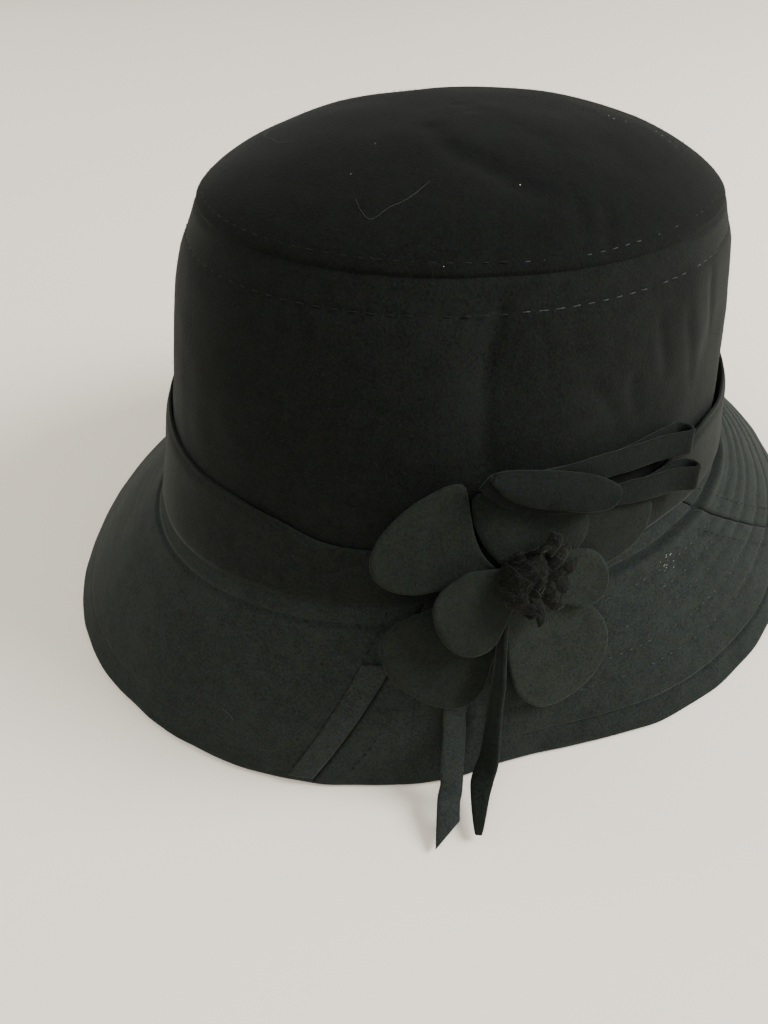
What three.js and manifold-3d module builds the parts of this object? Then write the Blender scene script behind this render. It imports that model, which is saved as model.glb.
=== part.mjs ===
// Cloche hat in black wool felt, resting on its brim.
// Millimetres, +Z up, front of the hat towards -Y, wearer's left towards +X.
// A turn is the angle round the hat from its front, towards the wearer's left.

import * as THREE from 'three';
import { mergeVertices } from 'three/addons/utils/BufferGeometryUtils.js';
import Module from 'manifold-3d';

const wasm = await Module();
wasm.setup();

// Felt walls and the gap that neighbouring pieces keep.
const CROWN_FELT = 2.0;
const BRIM_FELT = 3.0;
const BAND_FELT = 1.6;
const STRIP_FELT = 1.6;
const PETAL_FELT = 1.4;
const GAP = 0.35;

// Columns of points round the hat.
const COLUMNS = 72;

// Head line: the oval where crown and brim are sewn together.
const HEAD_LENGTH = 209.4;
const HEAD_WIDTH = 173.0;
const HEAD_LINE_HEIGHT = 37.6;
const HEAD_LEAN_BACK = 8.46;
const HEAD_LEAN_SIDE = 5.5;

// Crown wall, from the head line up to the tip seam.
const CROWN_RISE = 81.7;
const TIP_SHIFT_BACK = 18.2;
const TIP_SHIFT_SIDE = -2.5;
const TIP_LEAN_BACK = 7.4;
const TIP_LEAN_SIDE = -1.0;
const TIP_RISE = 22.0;
const TIP_FLATNESS = 2.0;
const TIP_SHOULDER = 1.32;

// Brim, from the head line out to the table.
const BRIM_REACH = 41.4;
const BRIM_BELL = 2.0;
const BRIM_LIP = 2.0;
const BRIM_SEAM_FRONT = { head: 37.7, edge: 19.5 };
const BRIM_SEAM_SIDE = { head: 90, edge: 116 };
const SEAM_SPREAD = 1.6;

// Band round the foot of the crown.
const BAND_HEIGHT = 36;
const BAND_STAND = 3.2;
const BAND_GAP = 0.5;

// Felt strips of the bow: two loops and two tails.
const STRIP_WIDTH = 6.4;
const TAIL_CUT = 0.5;
const LOOP_OPENING = 5.0;

// Flower: it sits on the band, turned to face out and a little up.
const FLOWER_TURN = 57.5;
const FLOWER_SLOPE = 19;
const FLOWER_ACROSS = -8;
const FLOWER_UP = 8;
const PETAL_LENGTH = 40;
const PETAL_WIDTH = 29;
const PETAL_SEAT = 1.9;
const PETAL_LAYER = 2.2;
const PETAL_SWELL = { round: 1.45, blunt: 2.0 };
const PETAL_END = { round: 0.52, blunt: 0.36 };
const STEM_RADIUS = 4.5;
const STEM_SEAT = 0.9;
const STEM_SIDES = 14;
const STEM_HEIGHT = 9;
const LOCK_LENGTH = 8;
const LOCK_WIDTH = 4.2;
const LOCK_ROOT = 2.0;
const LOCK_TIP = 0.55;

// Rows up the crown wall: rise is a share of CROWN_RISE, reach a share of the head oval.
const crownRows = [
  { rise: 0.00, reach: 1.000 },
  { rise: 0.20, reach: 0.974 },
  { rise: 0.41, reach: 0.952 },
  { rise: 0.62, reach: 0.930 },
  { rise: 0.85, reach: 0.889 },
  { rise: 1.00, reach: 0.844 },
];

// Rows round the brim: reach is a share of BRIM_REACH.
const brimRows = [
  { turn: 0, reach: 0.69 },
  { turn: 15, reach: 0.59 },
  { turn: 30, reach: 0.52 },
  { turn: 40, reach: 0.49 },
  { turn: 47, reach: 0.445 },
  { turn: 54, reach: 0.47 },
  { turn: 62, reach: 0.56 },
  { turn: 70, reach: 0.67 },
  { turn: 80, reach: 0.76 },
  { turn: 96, reach: 0.83 },
  { turn: 135, reach: 0.85 },
  { turn: 180, reach: 0.95 },
  { turn: 225, reach: 1.05 },
  { turn: 270, reach: 1.12 },
  { turn: 305, reach: 1.06 },
  { turn: 326, reach: 1.01 },
  { turn: 336, reach: 0.93 },
  { turn: 348, reach: 0.80 },
];

// Rows round the band: height is a share of BAND_HEIGHT, stand a share of BAND_STAND.
const bandRows = [
  { turn: 0, height: 0.74, stand: 0.0 },
  { turn: 11, height: 0.63, stand: 0.0 },
  { turn: 20, height: 0.52, stand: 0.0 },
  { turn: 30, height: 0.47, stand: 0.0 },
  { turn: 57, height: 0.45, stand: 0.0 },
  { turn: 80, height: 0.56, stand: 0.2 },
  { turn: 92, height: 0.69, stand: 0.4 },
  { turn: 108, height: 0.66, stand: 0.4 },
  { turn: 150, height: 0.82, stand: 0.2 },
  { turn: 200, height: 1.00, stand: 0.0 },
  { turn: 280, height: 1.00, stand: 0.0 },
  { turn: 330, height: 0.86, stand: 0.0 },
];

// Dents pressed into the crown: depth in shares of CROWN_FELT, wide in degrees, tall in rise.
const wallDents = [
  { turn: 44.5, rise: 0.68, depth: 0.9, wide: 5, tall: 0.28 },
  { turn: 70, rise: 0.53, depth: 0.7, wide: 8, tall: 0.12 },
  { turn: 100, rise: 0.60, depth: 0.7, wide: 9, tall: 0.16 },
];

// Dents in the crown's tip: place in shares of the tip's oval, aim in degrees, length and width
// in the same shares, depth in shares of CROWN_FELT.
const tipDents = [
  { across: 0.47, ahead: 0.43, aim: -11, long: 0.26, wide: 0.12, depth: 0.7 },
  { across: 0.61, ahead: 0.00, aim: 37, long: 0.16, wide: 0.10, depth: 0.5 },
];

// Rows of the flower: aim in degrees from straight across, length and width as shares of
// PETAL_LENGTH and PETAL_WIDTH, skew the sideways run of the tip in widths, blunt how square the
// end is, layer counted from the lowest, lift of the tip and cup of the edges in PETAL_LAYER.
const petalRows = [
  {
    name: 'petal_1', aim: 133, length: 0.90, width: 1.06,
    skew: 0.40, blunt: 0.1, layer: 1, lift: -1.6, cup: 0.5,
  },
  {
    name: 'petal_2', aim: 192, length: 0.60, width: 0.86,
    skew: 0.00, blunt: 0.1, layer: 2, lift: 1.0, cup: 0.8,
  },
  {
    name: 'petal_3', aim: 208, length: 0.99, width: 1.10,
    skew: 0.02, blunt: 0.5, layer: 0, lift: -0.6, cup: 0.4,
  },
  {
    name: 'petal_4', aim: 283, length: 1.00, width: 1.04,
    skew: -0.08, blunt: 0.1, layer: 1, lift: 0.2, cup: 0.5,
  },
  {
    name: 'petal_5', aim: 326, length: 0.45, width: 0.66,
    skew: 0.00, blunt: 0.0, layer: 2, lift: 0.4, cup: 0.6,
  },
  {
    name: 'petal_6', aim: 98, length: 0.44, width: 0.80,
    skew: 0.0, blunt: 1.8, layer: 2.8, lift: 0.9, cup: 0.8,
  },
  {
    name: 'petal_7', aim: 66, length: 0.52, width: 1.30,
    skew: 0.02, blunt: 1.2, layer: 1.85, lift: 0.9, cup: 0.5,
  },
  {
    name: 'petal_8', aim: -3, length: 0.93, width: 0.62,
    skew: 0.0, blunt: 0.5, layer: 0.3, lift: -2.2, cup: 0.1,
  },
];

// Rings of locks in the flower's middle: radius a share of STEM_RADIUS, lean outward in degrees at
// the tip, length a share of LOCK_LENGTH, start a share of the step between two locks.
const lockRows = [
  { radius: 0.76, count: 7, lean: 50, length: 0.8, start: 0.0 },
  { radius: 0.42, count: 4, lean: 18, length: 1.0, start: 0.4 },
];

// Rows of the bow's loops: turn and rise of the root and the end, and the stand of the inner leg
// off the crown in shares of STRIP_WIDTH.
const loopRows = [
  {
    name: 'bow_loop_upper',
    root: { turn: 46.5, rise: 0.415, stand: 0.094 },
    end: { turn: 83, rise: 0.36, stand: 0.125 },
  },
  {
    name: 'bow_loop_lower',
    root: { turn: 67, rise: 0.288, stand: 0.688 },
    end: { turn: 83, rise: 0.237, stand: 0.656 },
  },
];

// Rows down the bow's tails: share is the way down the brim, past 1 out over the table; stand is
// the middle's height over it in shares of STRIP_WIDTH, and twist turns the face round.
const tailRows = {
  tail_left: [
    { turn: 43.6, share: 0.375, stand: 0.219, twist: 0 },
    { turn: 40.7, share: 0.54, stand: 0.281, twist: 0 },
    { turn: 40.1, share: 0.717, stand: 0.469, twist: 0 },
    { turn: 39.6, share: 0.833, stand: 0.859, twist: 0 },
    { turn: 39.0, share: 1.116, stand: 1.56, twist: 0 },
    { turn: 38.4, share: 1.193, stand: 0.859, twist: 0 },
    { turn: 37.8, share: 1.286, stand: 0.344, twist: 0 },
  ],
  tail_right: [
    { turn: 46.9, share: 0.31, stand: 1.28, twist: 76 },
    { turn: 46.4, share: 0.39, stand: 0.969, twist: 70 },
    { turn: 46.0, share: 0.517, stand: 0.656, twist: 60 },
    { turn: 45.1, share: 0.732, stand: 0.781, twist: 52 },
    { turn: 44.1, share: 0.85, stand: 0.938, twist: 46 },
    { turn: 42.8, share: 1.14, stand: 1.25, twist: 50 },
    { turn: 41.6, share: 1.27, stand: 0.719, twist: 66 },
  ],
};

const toRadians = THREE.MathUtils.degToRad;
const lerp = THREE.MathUtils.lerp;

function cubic(a, b, c, d, t) {
  const slopeIn = (c - a) / 2;
  const slopeOut = (d - b) / 2;
  const bend = 3 * (c - b) - 2 * slopeIn - slopeOut;
  const twist = 2 * (b - c) + slopeIn + slopeOut;
  return b + t * (slopeIn + t * (bend + t * twist));
}

// Smooth value of one column of a table at a place along its key column.
function along(rows, key, column, at) {
  let i = 0;
  while (i < rows.length - 2 && at > rows[i + 1][key]) {
    i += 1;
  }
  const value = (k) => rows[Math.min(Math.max(k, 0), rows.length - 1)][column];
  const t = (at - rows[i][key]) / (rows[i + 1][key] - rows[i][key]);
  return cubic(value(i - 1), value(i), value(i + 1), value(i + 2), t);
}

// The same for a table that runs round the hat.
function around(rows, column, turn) {
  const count = rows.length;
  const at = ((turn % 360) + 360) % 360;
  let i = count - 1;
  while (rows[i].turn > at) {
    i -= 1;
  }
  const next = i + 1 < count ? rows[i + 1].turn : rows[0].turn + 360;
  const t = (at - rows[i].turn) / (next - rows[i].turn);
  const value = (k) => rows[(k + count) % count][column];
  return cubic(value(i - 1), value(i), value(i + 1), value(i + 2), t);
}

// Outward direction of the head oval in plan.
function outward(turn) {
  const angle = toRadians(turn);
  const normal = new THREE.Vector3(Math.sin(angle) / HEAD_WIDTH, -Math.cos(angle) / HEAD_LENGTH, 0);
  return normal.normalize();
}

function dentDepth(turn, rise) {
  let depth = 0;
  for (const dent of wallDents) {
    const acrossDent = (turn - dent.turn) / dent.wide;
    const upDent = (rise - dent.rise) / dent.tall;
    depth += dent.depth * CROWN_FELT * Math.exp(-acrossDent * acrossDent - upDent * upDent);
  }
  return depth;
}

function tipDentDepth(across, ahead) {
  let depth = 0;
  for (const dent of tipDents) {
    const aim = toRadians(dent.aim);
    const x = across - dent.across;
    const y = ahead - dent.ahead;
    const alongDent = (x * Math.cos(aim) + y * Math.sin(aim)) / dent.long;
    const acrossDent = (y * Math.cos(aim) - x * Math.sin(aim)) / dent.wide;
    depth += dent.depth * CROWN_FELT * Math.exp(-alongDent * alongDent - acrossDent * acrossDent);
  }
  return depth;
}

// Point on the crown wall; stand moves it out from the felt's outer face.
function crownPoint(turn, rise, stand) {
  const angle = toRadians(turn);
  const reach = along(crownRows, 'rise', 'reach', rise);
  const x = HEAD_WIDTH / 2 * reach * Math.sin(angle);
  const y = -HEAD_LENGTH / 2 * reach * Math.cos(angle);
  const leanSide = Math.tan(toRadians(lerp(HEAD_LEAN_SIDE, TIP_LEAN_SIDE, rise)));
  const leanBack = Math.tan(toRadians(lerp(HEAD_LEAN_BACK, TIP_LEAN_BACK, rise)));
  const z = HEAD_LINE_HEIGHT + CROWN_RISE * rise + leanSide * x - leanBack * y;
  const point = new THREE.Vector3(x + TIP_SHIFT_SIDE * rise, y + TIP_SHIFT_BACK * rise, z);
  return point.addScaledVector(outward(turn), stand - dentDepth(turn, rise));
}

// Point on the crown's tip: share runs from its seam, 0, to its middle, 1.
function tipPoint(turn, share, inset) {
  const rim = crownPoint(turn, 1, -inset);
  const middle = crownPoint(0, 1, 0).add(crownPoint(180, 1, 0)).multiplyScalar(0.5);
  const swell = (1 - (1 - share) ** TIP_FLATNESS) ** (1 / TIP_SHOULDER);
  const point = rim.lerp(middle, share);
  point.z += (TIP_RISE - inset) * swell;
  const out = 1 - share;
  const angle = toRadians(turn);
  point.z -= tipDentDepth(out * Math.sin(angle), out * Math.cos(angle)) * swell;
  return point;
}

// Point on the brim's upper face: share runs from the head line, 0, to the edge, 1.
// Past the edge it runs on over the table.
function brimPoint(turn, share, stand) {
  const start = crownPoint(turn, 0, 0);
  start.z -= GAP;
  const reach = BRIM_REACH * around(brimRows, 'reach', turn);
  const out = outward(turn);
  const end = start.clone().addScaledVector(out, reach);
  end.z = BRIM_LIP;
  const depth = Math.hypot(reach, start.z - BRIM_LIP);
  const face = out.clone().multiplyScalar((start.z - BRIM_LIP) / depth);
  face.z = reach / depth;
  if (share > 1) {
    const beyond = end.clone().addScaledVector(out, (share - 1) * depth);
    beyond.z = stand;
    return beyond;
  }
  const bell = BRIM_BELL * Math.sin(Math.PI * share);
  return start.lerp(end, share).addScaledVector(face, bell + stand);
}

// Width in plan of the brim's felt, so that it keeps its thickness on the slope.
function brimWall(turn) {
  const start = crownPoint(turn, 0, 0);
  const reach = BRIM_REACH * around(brimRows, 'reach', turn);
  return BRIM_FELT * Math.hypot(reach, start.z) / start.z;
}

function material(colour, roughness) {
  return new THREE.MeshStandardMaterial({ color: colour, roughness, metalness: 0 });
}

// Closed body from a run of sections, each a closed loop with the same number of points.
// A section's second half runs back under its first half, so its ends close as strips.
function bodyFromSections(sections, wraps) {
  const count = sections[0].length;
  const places = [];
  for (const section of sections) {
    for (const point of section) {
      places.push(point.x, point.y, point.z);
    }
  }
  const faces = [];
  const quad = (a, b, c, d) => faces.push(a, b, c, a, c, d);
  const spans = wraps ? sections.length : sections.length - 1;
  for (let i = 0; i < spans; i += 1) {
    const here = i * count;
    const next = ((i + 1) % sections.length) * count;
    for (let k = 0; k < count; k += 1) {
      const k2 = (k + 1) % count;
      quad(here + k, next + k, next + k2, here + k2);
    }
  }
  if (!wraps) {
    const last = (sections.length - 1) * count;
    for (let k = 0; k < count / 2 - 1; k += 1) {
      quad(k, k + 1, count - 2 - k, count - 1 - k);
      quad(last + k, last + count - 1 - k, last + count - 2 - k, last + k + 1);
    }
  }
  return closedGeometry(places, faces);
}

// Merges shared corners, drops faces that have collapsed and turns the faces outward.
function closedGeometry(places, faces) {
  const raw = new THREE.BufferGeometry();
  raw.setAttribute('position', new THREE.Float32BufferAttribute(places, 3));
  raw.setIndex(faces);
  const merged = mergeVertices(raw, 1e-3);
  const index = merged.getIndex().array;
  const kept = [];
  let volume = 0;
  const corner = (n) => new THREE.Vector3().fromBufferAttribute(merged.getAttribute('position'), n);
  for (let i = 0; i < index.length; i += 3) {
    const [a, b, c] = [index[i], index[i + 1], index[i + 2]];
    if (a !== b && b !== c && c !== a) {
      kept.push(a, b, c);
      volume += corner(a).dot(corner(b).cross(corner(c)));
    }
  }
  if (volume < 0) {
    kept.reverse();
  }
  merged.setIndex(kept);
  merged.computeVertexNormals();
  return merged;
}

function mesh(name, geometry, look) {
  const piece = new THREE.Mesh(geometry, look);
  piece.name = name;
  return piece;
}

function steps(from, to, count) {
  return Array.from({ length: count + 1 }, (unused, i) => lerp(from, to, i / count));
}

function makeCrownSide() {
  const top = 1 - GAP / CROWN_RISE;
  const columns = steps(0, 360, COLUMNS).slice(0, -1);
  const sections = columns.map((turn) => {
    const outer = steps(0, top, 8).map((rise) => crownPoint(turn, rise, 0));
    const inner = steps(top, 0, 8).map((rise) => crownPoint(turn, rise, -CROWN_FELT));
    return [...outer, ...inner];
  });
  return mesh('crown_side', bodyFromSections(sections, true), material(0x151716, 0.95));
}

function makeCrownTip() {
  const columns = steps(0, 360, COLUMNS).slice(0, -1);
  const shares = [0, 0.03, 0.09, 0.18, 0.32, 0.52, 0.76, 1];
  const sections = columns.map((turn) => {
    const outer = shares.map((share) => tipPoint(turn, share, 0));
    const inner = shares.map((share) => tipPoint(turn, share, CROWN_FELT)).reverse();
    return [...outer, ...inner];
  });
  return mesh('crown_tip', bodyFromSections(sections, true), material(0x161817, 0.95));
}

function wholeTurnOn(seam) {
  return { head: seam.head + 360, edge: seam.edge + 360 };
}

// Brim panel between two seams. Its foot is a flat strip on the table.
function makeBrimPanel(name, fromSeam, toSeam, columnCount) {
  const trim = SEAM_SPREAD * THREE.MathUtils.radToDeg(GAP / HEAD_WIDTH);
  const shares = steps(0, 1, 5);
  const sections = steps(0, 1, columnCount).map((across) => {
    const turnAt = (share) => {
      const from = lerp(fromSeam.head, fromSeam.edge, share) + trim;
      const to = lerp(toSeam.head, toSeam.edge, share) - trim;
      return lerp(from, to, across);
    };
    const back = (share) => outward(turnAt(share)).multiplyScalar(-brimWall(turnAt(share)));
    const upper = shares.map((share) => brimPoint(turnAt(share), share, 0));
    const foot = upper[upper.length - 1].clone().setZ(0);
    const under = upper.map((point, i) => point.clone().add(back(shares[i])));
    const underFoot = foot.clone().add(back(1));
    return [...upper, foot, underFoot, ...under.reverse()];
  });
  return mesh(name, bodyFromSections(sections, false), material(0x141716, 0.95));
}

function makeBand() {
  const columns = steps(0, 360, COLUMNS).slice(0, -1);
  const sections = columns.map((turn) => {
    const top = around(bandRows, 'height', turn) * BAND_HEIGHT / CROWN_RISE;
    const stand = BAND_GAP + BAND_STAND * Math.max(around(bandRows, 'stand', turn), 0);
    const rises = steps(GAP / CROWN_RISE, top, 3);
    const inner = rises.map((rise) => crownPoint(turn, rise, stand));
    const outer = rises.map((rise) => crownPoint(turn, rise, stand + BAND_FELT));
    return [...inner, ...outer.reverse()];
  });
  return mesh('hat_band', bodyFromSections(sections, true), material(0x131514, 0.95));
}

// Closed felt strip through stations; each gives a middle, the way its face looks and its width.
function stripGeometry(stations) {
  const sections = stations.map(({ middle, face, side, cut }) => {
    const half = side.clone().normalize().multiplyScalar(STRIP_WIDTH / 2);
    const skin = face.clone().normalize().multiplyScalar(STRIP_FELT / 2);
    half.addScaledVector(half.clone().cross(face).normalize(), cut * STRIP_WIDTH);
    const corner = (a, b) => middle.clone().addScaledVector(half, a).addScaledVector(skin, b);
    return [corner(1, 1), corner(-1, 1), corner(-1, -1), corner(1, -1)];
  });
  return bodyFromSections(sections, false);
}

// Place along a loop: ahead from root to end, and out from its inner leg.
function loopPlace(share, length) {
  const radius = LOOP_OPENING / 2;
  const legShare = 0.4;
  const rootOpening = STRIP_FELT + GAP;
  if (share < legShare) {
    const leg = share / legShare;
    return { ahead: leg * (length - radius), out: lerp(rootOpening, LOOP_OPENING, leg ** 3) };
  }
  if (share > 1 - legShare) {
    return { ahead: (1 - share) / legShare * (length - radius), out: 0 };
  }
  const angle = Math.PI * (share - legShare) / (1 - 2 * legShare);
  return { ahead: length - radius + radius * Math.sin(angle), out: radius + radius * Math.cos(angle) };
}

function makeLoop({ name, root, end }) {
  const perDegree = Math.PI * (HEAD_LENGTH + HEAD_WIDTH) / 2 / 360;
  const length = (end.turn - root.turn) * perDegree;
  const points = steps(0, 1, 24).map((share) => {
    const place = loopPlace(share, length);
    const turn = root.turn + place.ahead / perDegree;
    const rise = lerp(root.rise, end.rise, place.ahead / length);
    const stand = lerp(root.stand, end.stand, place.ahead / length) * STRIP_WIDTH;
    return crownPoint(turn, rise, stand + STRIP_FELT / 2 + place.out);
  });
  const across = crownPoint(root.turn, root.rise + 0.1, 0);
  across.sub(crownPoint(root.turn, root.rise, 0)).normalize();
  const stations = points.map((middle, i) => {
    const ahead = points[Math.min(i + 1, points.length - 1)].clone();
    ahead.sub(points[Math.max(i - 1, 0)]);
    const face = ahead.clone().cross(across);
    return { middle, face, side: face.clone().cross(ahead), cut: 0 };
  });
  return mesh(name, stripGeometry(stations), material(0x171918, 0.95));
}

function makeTail(name) {
  const rows = tailRows[name];
  const place = (row) => brimPoint(row.turn, row.share, row.stand * STRIP_WIDTH);
  const route = new THREE.CatmullRomCurve3(rows.map(place));
  const twistAt = new THREE.SplineCurve(rows.map((row, i) => new THREE.Vector2(i, row.twist)));
  const stations = steps(0, 1, 18).map((share) => {
    const middle = route.getPoint(share);
    const ahead = route.getTangent(share);
    const out = outward(rows[0].turn);
    const level = new THREE.Vector3(-out.y, out.x, 0);
    const twist = toRadians(twistAt.getPoint(share).y);
    const side = level.projectOnPlane(ahead).normalize().applyAxisAngle(ahead, twist);
    return { middle, side, face: side.clone().cross(ahead), cut: share < 1 ? 0 : TAIL_CUT };
  });
  return mesh(name, stripGeometry(stations), material(0x171918, 0.95));
}

// Petal in its own frame: root at the origin, length along +X, upper face towards +Z.
function petalGeometry(row) {
  const length = row.length * PETAL_LENGTH;
  const halfWidth = row.width * PETAL_WIDTH / 2;
  const sections = steps(0, 1, 10).map((share) => {
    const middle = row.skew * PETAL_WIDTH * share * share;
    const reach = share ** lerp(PETAL_SWELL.round, PETAL_SWELL.blunt, row.blunt);
    const corner = lerp(PETAL_END.round, PETAL_END.blunt, row.blunt);
    const breadth = halfWidth * Math.sin(Math.PI * reach) ** corner;
    const height = PETAL_LAYER * row.lift * share * share;
    const upper = steps(-1, 1, 5).map((across) => {
      const edge = row.cup * PETAL_LAYER * across * across * Math.sin(Math.PI * share);
      return new THREE.Vector3(length * share, middle + breadth * across, height + edge);
    });
    const under = upper.map((point) => point.clone().setZ(point.z - PETAL_FELT));
    return [...upper, ...under.reverse()];
  });
  return bodyFromSections(sections, false);
}

// Solid of one closed geometry, and back again.
function toSolid(geometry) {
  const bare = new THREE.BufferGeometry();
  bare.setAttribute('position', geometry.getAttribute('position'));
  bare.setIndex(geometry.getIndex());
  const whole = mergeVertices(bare);
  return new wasm.Manifold(new wasm.Mesh({
    numProp: 3,
    vertProperties: new Float32Array(whole.getAttribute('position').array),
    triVerts: new Uint32Array(whole.getIndex().array),
  }));
}

function toGeometry(solid) {
  const { vertProperties, triVerts, numProp } = solid.getMesh();
  const places = [];
  for (let i = 0; i < vertProperties.length; i += numProp) {
    places.push(vertProperties[i], vertProperties[i + 1], vertProperties[i + 2]);
  }
  return closedGeometry(places, Array.from(triVerts));
}

// Fringed roll in the middle of the flower: a round stem with curled locks fused to its head.
function makeFlowerCentre() {
  const stem = new THREE.CylinderGeometry(STEM_RADIUS, STEM_RADIUS, STEM_HEIGHT, STEM_SIDES);
  stem.rotateX(Math.PI / 2).translate(0, 0, STEM_SEAT + STEM_HEIGHT / 2);
  let solid = toSolid(stem);
  for (const row of lockRows) {
    for (let i = 0; i < row.count; i += 1) {
      const turn = 2 * Math.PI * (i + row.start) / row.count;
      const sections = steps(0, 1, 4).map((share) => {
        const lean = toRadians(row.lean) * share;
        const radius = row.radius * STEM_RADIUS + LOCK_LENGTH * share * Math.sin(lean);
        const run = LOCK_LENGTH * row.length * share;
        const height = STEM_SEAT + STEM_HEIGHT - LOCK_ROOT + run * Math.cos(lean);
        const half = LOCK_WIDTH / 2 * lerp(1, LOCK_TIP, share);
        const skin = STRIP_FELT / 2;
        const corner = (a, b) => new THREE.Vector3(radius + skin * b, half * a, height);
        const loop = [corner(1, 1), corner(-1, 1), corner(-1, -1), corner(1, -1)];
        return loop.map((point) => point.applyAxisAngle(new THREE.Vector3(0, 0, 1), turn));
      });
      solid = solid.add(toSolid(bodyFromSections(sections, false)));
    }
  }
  return mesh('flower_centre', toGeometry(solid), material(0x1a171b, 1.0));
}

// The flower's own frame: +X across towards the back of the hat, +Y up it, +Z out of it.
function makeFlower() {
  const flower = new THREE.Group();
  const slope = toRadians(FLOWER_SLOPE);
  const plan = outward(FLOWER_TURN);
  const out = plan.clone().multiplyScalar(Math.cos(slope)).setZ(Math.sin(slope));
  const across = new THREE.Vector3(-plan.y, plan.x, 0);
  const up = out.clone().cross(across);
  const seat = crownPoint(FLOWER_TURN, 0, GAP + BAND_FELT);
  seat.addScaledVector(across, FLOWER_ACROSS).addScaledVector(up, FLOWER_UP);
  flower.quaternion.setFromRotationMatrix(new THREE.Matrix4().makeBasis(across, up, out));
  flower.position.copy(seat);
  for (const row of petalRows) {
    const petal = mesh(row.name, petalGeometry(row), material(0x1c1e1d, 0.9));
    const aim = toRadians(row.aim);
    const rootRadius = STEM_RADIUS + GAP;
    petal.rotation.z = aim;
    petal.position.set(Math.cos(aim) * rootRadius, Math.sin(aim) * rootRadius, 0);
    petal.position.z = PETAL_SEAT + PETAL_LAYER * row.layer;
    flower.add(petal);
  }
  flower.add(makeFlowerCentre());
  return flower;
}

const cloche = new THREE.Group();
cloche.add(
  makeCrownTip(),
  makeCrownSide(),
  makeBrimPanel('brim_front', BRIM_SEAM_FRONT, BRIM_SEAM_SIDE, 20),
  makeBrimPanel('brim_back', BRIM_SEAM_SIDE, wholeTurnOn(BRIM_SEAM_FRONT), 56),
  makeBand(),
  ...loopRows.map(makeLoop),
  ...Object.keys(tailRows).map(makeTail),
  makeFlower(),
);

// The origin is under the middle of the hat, on the table.
const extent = new THREE.Box3().setFromObject(cloche, true);
const middle = extent.getCenter(new THREE.Vector3());
cloche.position.set(-middle.x, -middle.y, -extent.min.z);

export default cloche;
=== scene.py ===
"""Cloche hat in black wool felt, standing on its brim on a pale table."""

import math
import random

import bmesh
import bpy
import numpy as np
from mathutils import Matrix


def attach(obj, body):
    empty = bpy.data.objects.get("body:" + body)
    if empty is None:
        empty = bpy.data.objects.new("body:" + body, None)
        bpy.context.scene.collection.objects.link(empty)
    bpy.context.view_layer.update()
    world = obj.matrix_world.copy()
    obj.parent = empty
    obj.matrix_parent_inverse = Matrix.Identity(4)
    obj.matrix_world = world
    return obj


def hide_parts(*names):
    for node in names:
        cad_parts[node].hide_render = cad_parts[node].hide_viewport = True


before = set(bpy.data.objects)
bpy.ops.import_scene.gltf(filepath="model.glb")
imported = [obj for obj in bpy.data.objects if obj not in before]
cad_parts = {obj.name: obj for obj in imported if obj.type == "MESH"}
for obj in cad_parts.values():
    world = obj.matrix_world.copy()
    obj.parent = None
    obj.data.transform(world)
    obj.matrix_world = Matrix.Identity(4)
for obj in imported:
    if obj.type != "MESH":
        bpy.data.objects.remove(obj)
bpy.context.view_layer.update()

MM = 0.001
# The head line's middle in the hat's own frame, in millimetres.
CENTRE = np.array([6.313, -4.680, 0.0])

# Felt thicknesses and the gap at the seams, in millimetres.
CROWN_FELT = 2.0
BRIM_FELT = 3.0
BAND_FELT = 1.6
STRIP_FELT = 1.6
PETAL_FELT = 1.4
GAP = 0.35

# Head line and crown.
HEAD_LENGTH = 209.4
HEAD_WIDTH = 173.0
HEAD_LINE_HEIGHT = 37.6
HEAD_LEAN_BACK = 8.46
HEAD_LEAN_SIDE = 5.5
CROWN_RISE = 81.7
TIP_SHIFT_BACK = 18.2
TIP_SHIFT_SIDE = -2.5
TIP_LEAN_BACK = 7.4
TIP_LEAN_SIDE = -1.0
TIP_RISE = 22.0
TIP_FLATNESS = 2.4
TIP_SHOULDER = 1.32

# Brim, band, strips and flower.
BRIM_REACH = 41.4
BRIM_BELL = 2.0
BRIM_LIP = 2.0
SEAM_FRONT = (37.7, 19.5)
SEAM_SIDE = (90.0, 116.0)
BAND_HEIGHT = 36.0
BAND_STAND = 3.2
BAND_GAP = 0.5
STRIP_WIDTH = 6.4
LOOP_OPENING = 5.0
FLOWER_TURN = 57.5
FLOWER_SLOPE = 19.0
PETAL_LENGTH = 40.0
PETAL_WIDTH = 29.0
PETAL_SEAT = 1.9
PETAL_LAYER = 2.2
STEM_RADIUS = 4.5

# Columns: rise, reach.
CROWN_ROWS = np.array([
    (0.00, 1.000), (0.20, 0.974), (0.41, 0.952), (0.62, 0.930), (0.85, 0.889), (1.00, 0.844),
])

# Columns: turn, reach.
BRIM_ROWS = np.array([
    (0, 0.69), (15, 0.59), (30, 0.52), (40, 0.49), (47, 0.445), (54, 0.47), (62, 0.56),
    (70, 0.67), (80, 0.76), (96, 0.83), (135, 0.85), (180, 0.95), (225, 1.05), (270, 1.12),
    (305, 1.06), (326, 1.01), (336, 0.93), (348, 0.80),
])

# Columns: turn, height, stand.
BAND_ROWS = np.array([
    (0, 0.64, 0.0), (11, 0.565, 0.0), (20, 0.455, 0.0), (30, 0.42, 0.0), (57, 0.43, 0.0),
    (80, 0.56, 0.2), (92, 0.69, 0.4), (108, 0.66, 0.4), (150, 0.82, 0.2), (200, 1.0, 0.0),
    (280, 1.0, 0.0), (325, 0.82, 0.0), (345, 0.70, 0.0),
])

# Columns: turn, rise, depth in millimetres, width in degrees, height in rise.
WALL_DENTS = [
    (44.5, 0.68, 1.8, 5.0, 0.28), (70.0, 0.53, 1.4, 8.0, 0.12), (100.0, 0.60, 1.4, 9.0, 0.16),
]

# Columns: across, ahead, aim in degrees, length, width, depth in millimetres.
TIP_DENTS = [
    (0.47, 0.43, -11.0, 0.26, 0.12, 1.4), (0.61, 0.00, 37.0, 0.16, 0.10, 1.0),
]

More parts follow.
